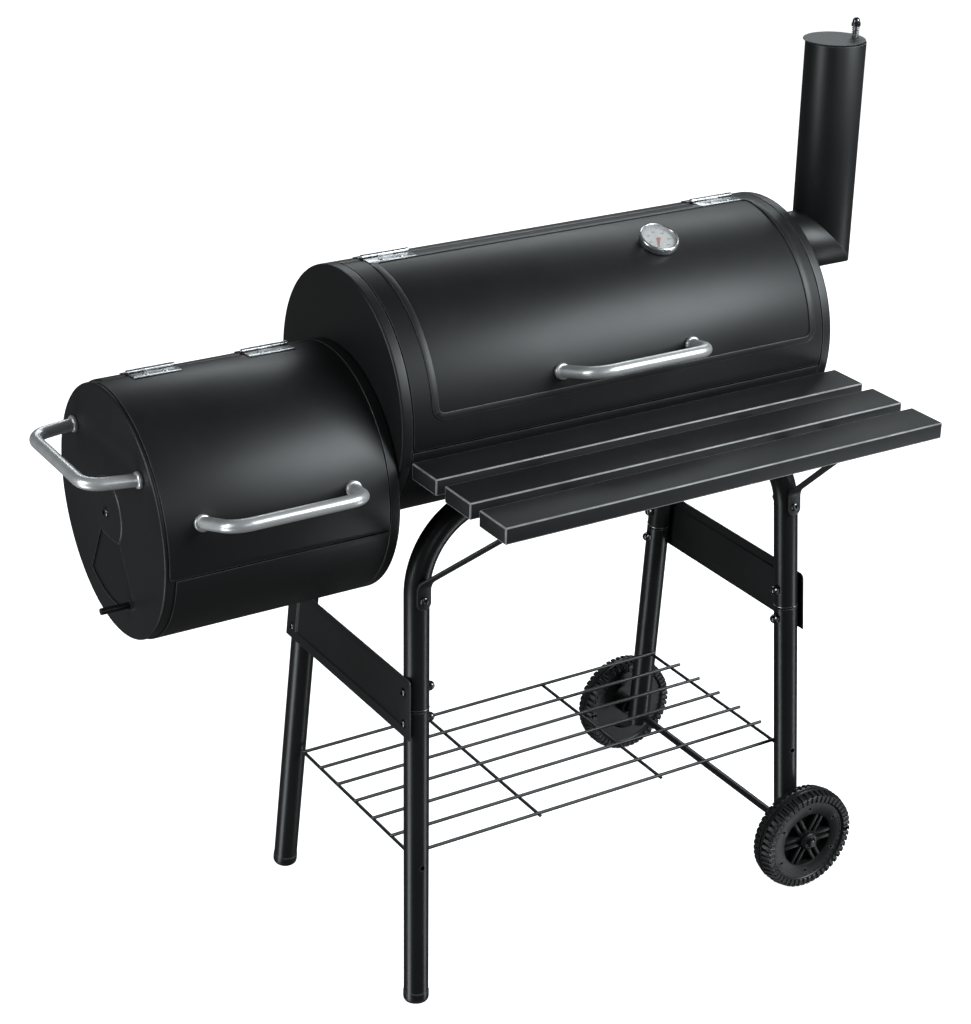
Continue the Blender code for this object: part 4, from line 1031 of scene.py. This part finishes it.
def sidePanel(side):
    # a plate whose middle is pressed in to the legs, inside a band along each long edge
    out = -1 if side == "left" else 1
    low, top = panel["low"], panel["low"] + panel["height"]
    made = newPlane()
    edit(made)
    for end, way in (("front", -1), ("rear", 1)):
        for height, half in ((low, -1), (top, 1)):
            spot = legAt(side, end, height)
            corner = spot + Vector((out * (stand["tube"] + 2 * sheet["gap"]), way * stand["tube"], 0))
            choose(made, "VERT", lambda v: abs(v.co.x - half / 2) < 1e-6 and abs(v.co.y - way / 2) < 1e-6)
            bpy.ops.transform.translate(value=tuple(corner - Vector((half / 2, way / 2, 0))))
    selectAll()
    faceOut()
    clearSelection()
    if made.data.polygons[0].normal.x * out < 0:
        flip(made)
    edit(made)
    choose(made, "FACE", lambda face: True)
    bpy.ops.mesh.inset(thickness=panel["band"])
    front, rear = legAt(side, "front", top).y, legAt(side, "rear", top).y
    long = rear - front + 2 * stand["tube"]
    scaleBy((1, (long - 2 * panel["end"]) / (long - 2 * panel["band"]), 1), (0, (front + rear) / 2, 0))
    bpy.ops.mesh.inset(thickness=panel["slope"], depth=-panel["step"])
    clearSelection()
    thicken(made, panel["sheet"], 1.0)
    edit(made)
    choose(made, "EDGE", lambda edge: middleOf(edge).z > top - 1e-4 and
           abs(edge.verts[0].co.y - edge.verts[1].co.y) < 1e-4)
    bevelBy(panel["corner"], 6, "EDGES")
    clearSelection()
    softenEdges(made, 0.0004, 2, 25)
    finishPiece(made, f"side_panel_{side}_sheet", "smoker_frame", "black_coat", blackCoat, f"side_panel_{side}")
    heads, nuts = [], []
    for end in ("front", "rear"):
        for height in panel["bolts"]:
            spot = legAt(side, end, height)
            heads.append((spot + Vector((out * (stand["tube"] + 0.0021), 0, 0)), (out, 0, 0)))
            nuts.append((spot - Vector((out * (stand["tube"] - 0.0012), 0, 0)), (-out, 0, 0)))
    hardwareSet(boltHead, heads, f"panel_bolts_{side}", "smoker_frame", "black_coat", nutCoat)
    hardwareSet(capNut, nuts, f"panel_nuts_{side}", "smoker_frame", "black_coat", nutCoat)


for side in ("left", "right"):
    sidePanel(side)
print("stand made")

rack = {"z": 0.19, "wire": 0.00225, "long": 7, "cross": 4, "past": 0.01, "frontGap": 0.0015, "rearGap": 0.006,
        "inset": 0.004}


def wire(start, end):
    way, radius, edge = end - start, rack["wire"], rack["wire"] * 0.4
    return placedTurn(roundedRod(radius, 0.0, way.length, edge, edge, 14), start, way)


def bottomRack():
    z, radius = rack["z"], rack["wire"]
    left, right = legAt("left", "front", z).x, legAt("right", "front", z).x
    front = legAt("left", "front", z).y + stand["tube"] + radius + rack["frontGap"]
    rear = legAt("left", "rear", z).y - stand["tube"] - radius - rack["rearGap"]
    parts = []
    for number in range(rack["long"]):
        y = front + (rear - front) * number / (rack["long"] - 1)
        past = rack["past"] if 0 < number < rack["long"] - 1 else 0
        parts.append(wire(Vector((left, y, z)), Vector((right + past, y, z))))
    under, first, last = z - radius * 1.3, left + rack["inset"], right - rack["inset"]
    for number in range(rack["cross"]):
        x = first + (last - first) * number / (rack["cross"] - 1)
        parts.append(wire(Vector((x, front - 1.4 * radius, under)), Vector((x, rear + 2.8 * radius, under))))
    finishPiece(joined(parts), "bottom_wire_rack", "smoker_frame", "black_coat", tubeCoat, "bottom_rack",
                smoothDeg=40)


bottomRack()

# wheels
wheel = {"radius": 0.072, "hubHalf": 0.019, "hub": 0.013, "bore": 0.0053, "blocks": 50, "band": 0.0575,
         "spokes": 6, "rib": 0.0052, "holeRadius": 0.002, "holeReach": 0.048}


def tyreRing(r, band):
    side = [(band, 0.0135), (band + 0.001, 0.015), (r - 0.0075, 0.016), (r - 0.005, 0.0146),
            (r - 0.0036, 0.011), (r - 0.0036, 0.0045), (r - 0.0004, 0.004), (r - 0.0004, 0.0018),
            (r - 0.0022, 0.0014)]
    profile = [(out, -up) for out, up in side] + side[::-1]
    return turnedPiece(profile + [(band - 0.0012, 0.013), (band - 0.0012, -0.013), profile[0]], steps=100,
                       closed=True)


def treadBlocks(r):
    lug = block((0.0052, 0.0056, 0.0125), (r - 0.00265, 0, 0.0106), 0.0007, 1)
    edit(lug)
    choose(lug, "VERT", lambda v: v.co.z > 0.014 and v.co.x > r - 0.003)
    bpy.ops.transform.translate(value=(-0.003, 0.0, 0.0))
    clearSelection()
    sideLug = block((0.0092, 0.0046, 0.0022), (r - 0.009, 0, 0.0159), 0.0006, 1)
    sideLug.data.transform(Matrix.Rotation(radians(2.0), 4, "Z"))
    lug = joined([lug, sideLug])
    twin = copyOf(lug, Matrix.Rotation(radians(3.6), 4, "Z") @ Matrix.Rotation(pi, 4, "X"))
    lug = joined([lug, twin])
    edit(lug)
    faceOut()
    bpy.ops.mesh.spin(steps=wheel["blocks"], dupli=True, angle=2 * pi, center=(0, 0, 0), axis=(0, 0, 1))
    clearSelection()
    return lug


def wheelModel():
    band, hub, bore, half, spokes = (wheel[part] for part in ("band", "hub", "bore", "hubHalf", "spokes"))
    dish = turnedPiece([(0.037, -0.0125), (band - 0.0008, -0.0125), (band - 0.0008, 0.0125), (0.04, 0.0125),
                        (0.0385, 0.0115), (0.037, 0.005), (0.037, -0.0125)], steps=100, closed=True)
    lip = turnedPiece([(band - 0.0035, 0.012), (band - 0.003, 0.0132), (band - 0.0012, 0.0132),
                       (band - 0.0006, 0.012), (band - 0.0035, 0.012)], steps=100, closed=True)
    web = turnedPiece([(hub - 0.001, -0.004), (0.0375, -0.004), (0.0375, -0.001), (hub - 0.001, -0.001),
                       (hub - 0.001, -0.004)], steps=72, closed=True)
    core = turnedPiece([
        (bore, -half), (hub - 0.001, -half), (hub, -half + 0.001), (hub, half - 0.003), (hub - 0.0012, half - 0.001),
        (hub - 0.003, half), (bore + 0.0022, half), (bore + 0.0016, half - 0.002), (bore, half - 0.002),
        (bore, -half)], steps=48, closed=True)
    pair = joined([block((0.0265, wheel["rib"], 0.0125), (0.025, across, 0.0052), 0.0016)
                   for across in (0.0046, -0.0046)])
    ribs = [copyOf(pair, Matrix.Rotation(2 * pi * number / spokes, 4, "Z")) for number in range(spokes)]
    bpy.data.objects.remove(pair, do_unlink=True)
    for number in range(spokes):  # small holes in the dish
        turn, reach, radius = 2 * pi * (number + 0.5) / spokes, wheel["holeReach"], wheel["holeRadius"]
        hole = turnedPiece([(radius, 0.0), (radius, 0.02)], steps=16)
        cutWith(dish, shifted(hole, (reach * cos(turn), reach * sin(turn), 0.004)))
    return joined([tyreRing(wheel["radius"], band), treadBlocks(wheel["radius"]), dish, lip, web, core, *ribs])


wheelOne = wheelModel()
for end, turn in (("front", -1), ("rear", 1)):
    made = copyOf(wheelOne, facingAlong((0, turn, 0), middleOfNode(f"wheel_{end}")))
    finishPiece(made, f"{end}_wheel_tyre", f"wheel_{end}", "wheel_plastic", wheelPlastic, f"wheel_{end}",
                smoothDeg=35)
low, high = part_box("axle")
axleRod = roundedRod(0.005, 0.0, high.y - low.y, 0.0012, 0.001, 32)
placedTurn(axleRod, ((low.x + high.x) / 2, low.y, (low.z + high.z) / 2), (0, 1, 0))
finishPiece(axleRod, "axle_rod", "smoker_frame", "zinc", tubeCoat, "axle")
print("wheels made")

# shelf
for number in (1, 2, 3):
    low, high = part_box(f"shelf_slat_{number}")
    made = block(high - low, (low + high) / 2, 0.0015, 3)
    highlightFaces = made.data.attributes.new("highlightFaces", "FLOAT", "FACE")
    for face in made.data.polygons:  # the rounded edges only, which get the painted highlight line
        highlightFaces.data[face.index].value = float(max(abs(part) for part in face.normal) < 0.99)
    finishPiece(made, f"slat_board_{number}", "smoker_frame", "slat_paint", slatPaint, f"shelf_slat_{number}",
                smoothDeg=50)

brace = {"width": 0.0185, "tabWidth": 0.019, "neck": 0.0192, "sheet": 0.0025, "bend": 0.008, "footDrop": 0.114,
         "footRun": 0.032, "topInset": 0.077, "topRun": 0.028, "front": 0.014, "corner": 0.0085, "screwUp": 0.0115}
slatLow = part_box("shelf_slat_1")[0]


def shelfBrace(side, sign):
    footZ, half = archZ - brace["footDrop"], brace["sheet"] / 2
    out = Vector((0, -stand["tube"] - half - 2 * sheet["gap"], 0))
    foot = legAt(side, "front", footZ) + out
    bend = legAt(side, "front", footZ + brace["footRun"]) + out
    end = Vector((middleX + sign * (halfBarrel - brace["topInset"]), slatLow.y + brace["front"],
                  slatLow.z - 2 * sheet["gap"] - half))
    top = end + Vector((0, brace["topRun"], 0))
    strap = newPlane()
    edit(strap)
    choose(strap, "VERT", lambda v: v.co.y > 0)
    bpy.ops.mesh.delete(type="VERT")
    selectAll()
    scaleBy((brace["tabWidth"], 1, 1))
    bpy.ops.transform.translate(value=tuple(foot + Vector((0, 0.5, 0))))
    last = foot
    neck = bend + (top - bend).normalized() * brace["neck"]
    for spot, share in ((bend, 1.0), (neck, brace["width"] / brace["tabWidth"]), (top, 1.0), (end, 1.0)):
        extrudeBy(spot - last)
        scaleBy((share, 1, 1), spot)
        last = spot
    for spot in (bend, top):
        choose(strap, "EDGE", lambda edge: (middleOf(edge) - spot).length < 1e-4)
        bevelBy(brace["bend"], 6, "EDGES")
    choose(strap, "VERT", lambda v: v.co.z < footZ + 1e-4)
    bevelBy(brace["corner"], 6, "VERTICES")
    clearSelection()
    thicken(strap, brace["sheet"], 0.0)
    softenEdges(strap, 0.0004)
    finishPiece(strap, f"shelf_brace_{side}_strap", "smoker_frame", "black_coat", blackCoat, f"shelf_brace_{side}")
    boltAt = legAt(side, "front", footZ + brace["screwUp"])
    seat, rear = boltAt + out - Vector((0, half - 0.0002, 0)), boltAt + Vector((0, stand["tube"] - 0.001, 0))
    hardwareSet(boltHead, [(seat, (0, -1, stand["frontLean"]))], f"brace_screw_{side}", "smoker_frame", "zinc",
                nutCoat)
    hardwareSet(capNut, [(rear, (0, 1, 0))], f"brace_nut_{side}", "smoker_frame", "black_coat", nutCoat)


shelfBrace("left", -1)
shelfBrace("right", 1)
print("shelf made")

# nodes whose own shape is right
grates = ("cooking_grate_left", "cooking_grate_right", "charcoal_grate", "firebox_grate")
for finish, nodes in ((blackCoat, ("shelf_arm_left", "shelf_arm_right")), (chromeWire, grates)):
    for node in nodes:
        frame["nodes"][node].data.materials.clear()
        frame["nodes"][node].data.materials.append(finish)
for model in list(bpy.context.scene.objects):  # the models that the copies came from
    if model.type == "MESH" and not body_of(model):
        bpy.data.objects.remove(model, do_unlink=True)

# floor, lights, camera
studio = {"floor": 40.0, "world": 1.0, "tint": (0.9, 0.97, 1.0), "glow": 0.95, "unseen": 0.07}


def floorFinish():
    made, tree, shader, place = newMaterial("paleFloor")
    patch = placeGroup(tree, fineGrain, place, Grain=30.0, Patches=0.4)["Patch"]
    looks = {"Base Color": mixColour(tree, patch, (0.9, 0.9, 0.9), (0.94, 0.94, 0.94)), "Roughness": 0.9,
             "Specular IOR Level": 0.1, "Emission Color": (1.0, 1.0, 1.0), "Emission Strength": studio["glow"],
             "Alpha": addNode(tree, "LightPath", {})["Is Camera Ray"]}  # only the camera sees the floor
    for label, value in looks.items():
        feed(tree, shader[label], value)
    return made


clearSelection()
bpy.ops.mesh.primitive_plane_add(size=studio["floor"])
floor = bpy.context.object
floor.name = "studio_floor"
floor.data.materials.append(floorFinish())

world = bpy.data.worlds.new("studio")
bpy.context.scene.world = world
world.use_nodes = True
sky = world.node_tree
seen = addNode(sky, "LightPath", {})["Is Camera Ray"]
backdrop = sky.nodes["Background"].inputs
feed(sky, backdrop["Strength"], rangeNode(sky, seen, 0.0, 1.0, studio["unseen"], studio["world"]))
feed(sky, backdrop["Color"], (1.0, 1.0, 1.0))


def softbox(name, place, target, size, power):
    clearSelection()
    bpy.ops.object.light_add(type="AREA", location=place)
    light = bpy.context.object
    light.name = name
    light.data.shape = "RECTANGLE"
    light.data.size, light.data.size_y = size
    light.data.energy = power
    light.data.color = studio["tint"]
    light.rotation_mode = "QUATERNION"
    light.rotation_quaternion = (Vector(target) - Vector(place)).to_track_quat("-Z", "Y")
    return light


softboxes = {
    "key": ((2.05, -2.35, 2.45), (0.1, 0.0, 0.8), (2.3, 1.7), 124),
    "left": ((-3.0, 0.1, 1.5), (0.1, 0.0, 0.8), (0.9, 2.0), 38),
    "front": ((-0.6, -3.4, 1.9), (0.1, 0.0, 0.8), (1.2, 1.2), 6),
    "rear": ((1.9, 2.7, 2.75), (0.1, 0.0, 0.6), (3.4, 0.7), 36),
    "lowLeft": ((-3.2, 0.1, -1.2), (0.0, 0.0, 0.4), (1.3, 1.9), 36),
    "lowRight": ((2.75, -1.95, -1.3), (0.1, 0.0, 0.4), (0.8, 1.9), 18)}
for name, (place, target, size, power) in softboxes.items():
    softbox("softbox_" + name, place, target, size, power).visible_camera = False

shot = {"place": (-1.34188, -2.18171, 1.7411), "azimuth": -32.08, "elevation": 25.91, "roll": 1.08, "lens": 81.14,
        "shift": (-0.0215, 0.0603)}
clearSelection()
bpy.ops.object.camera_add(location=shot["place"])
camera = bpy.context.object
az, el, roll = (radians(shot[part]) for part in ("azimuth", "elevation", "roll"))
back = Vector((sin(az) * cos(el), -cos(az) * cos(el), sin(el)))
right = Vector((cos(az), sin(az), 0))
up = back.cross(right)
rightRolled, upRolled = right * cos(roll) + up * sin(roll), up * cos(roll) - right * sin(roll)
camera.rotation_mode = "QUATERNION"
camera.rotation_quaternion = Matrix((rightRolled, upRolled, back)).transposed().to_quaternion()
camera.data.lens = shot["lens"]
camera.data.sensor_width = 36
camera.data.shift_x, camera.data.shift_y = shot["shift"]
camera.data.clip_start, camera.data.clip_end = 0.05, 60
bpy.context.scene.camera = camera
bpy.context.scene.view_settings.view_transform = "Standard"
bpy.context.scene.view_settings.look = "None"
print("studio made")
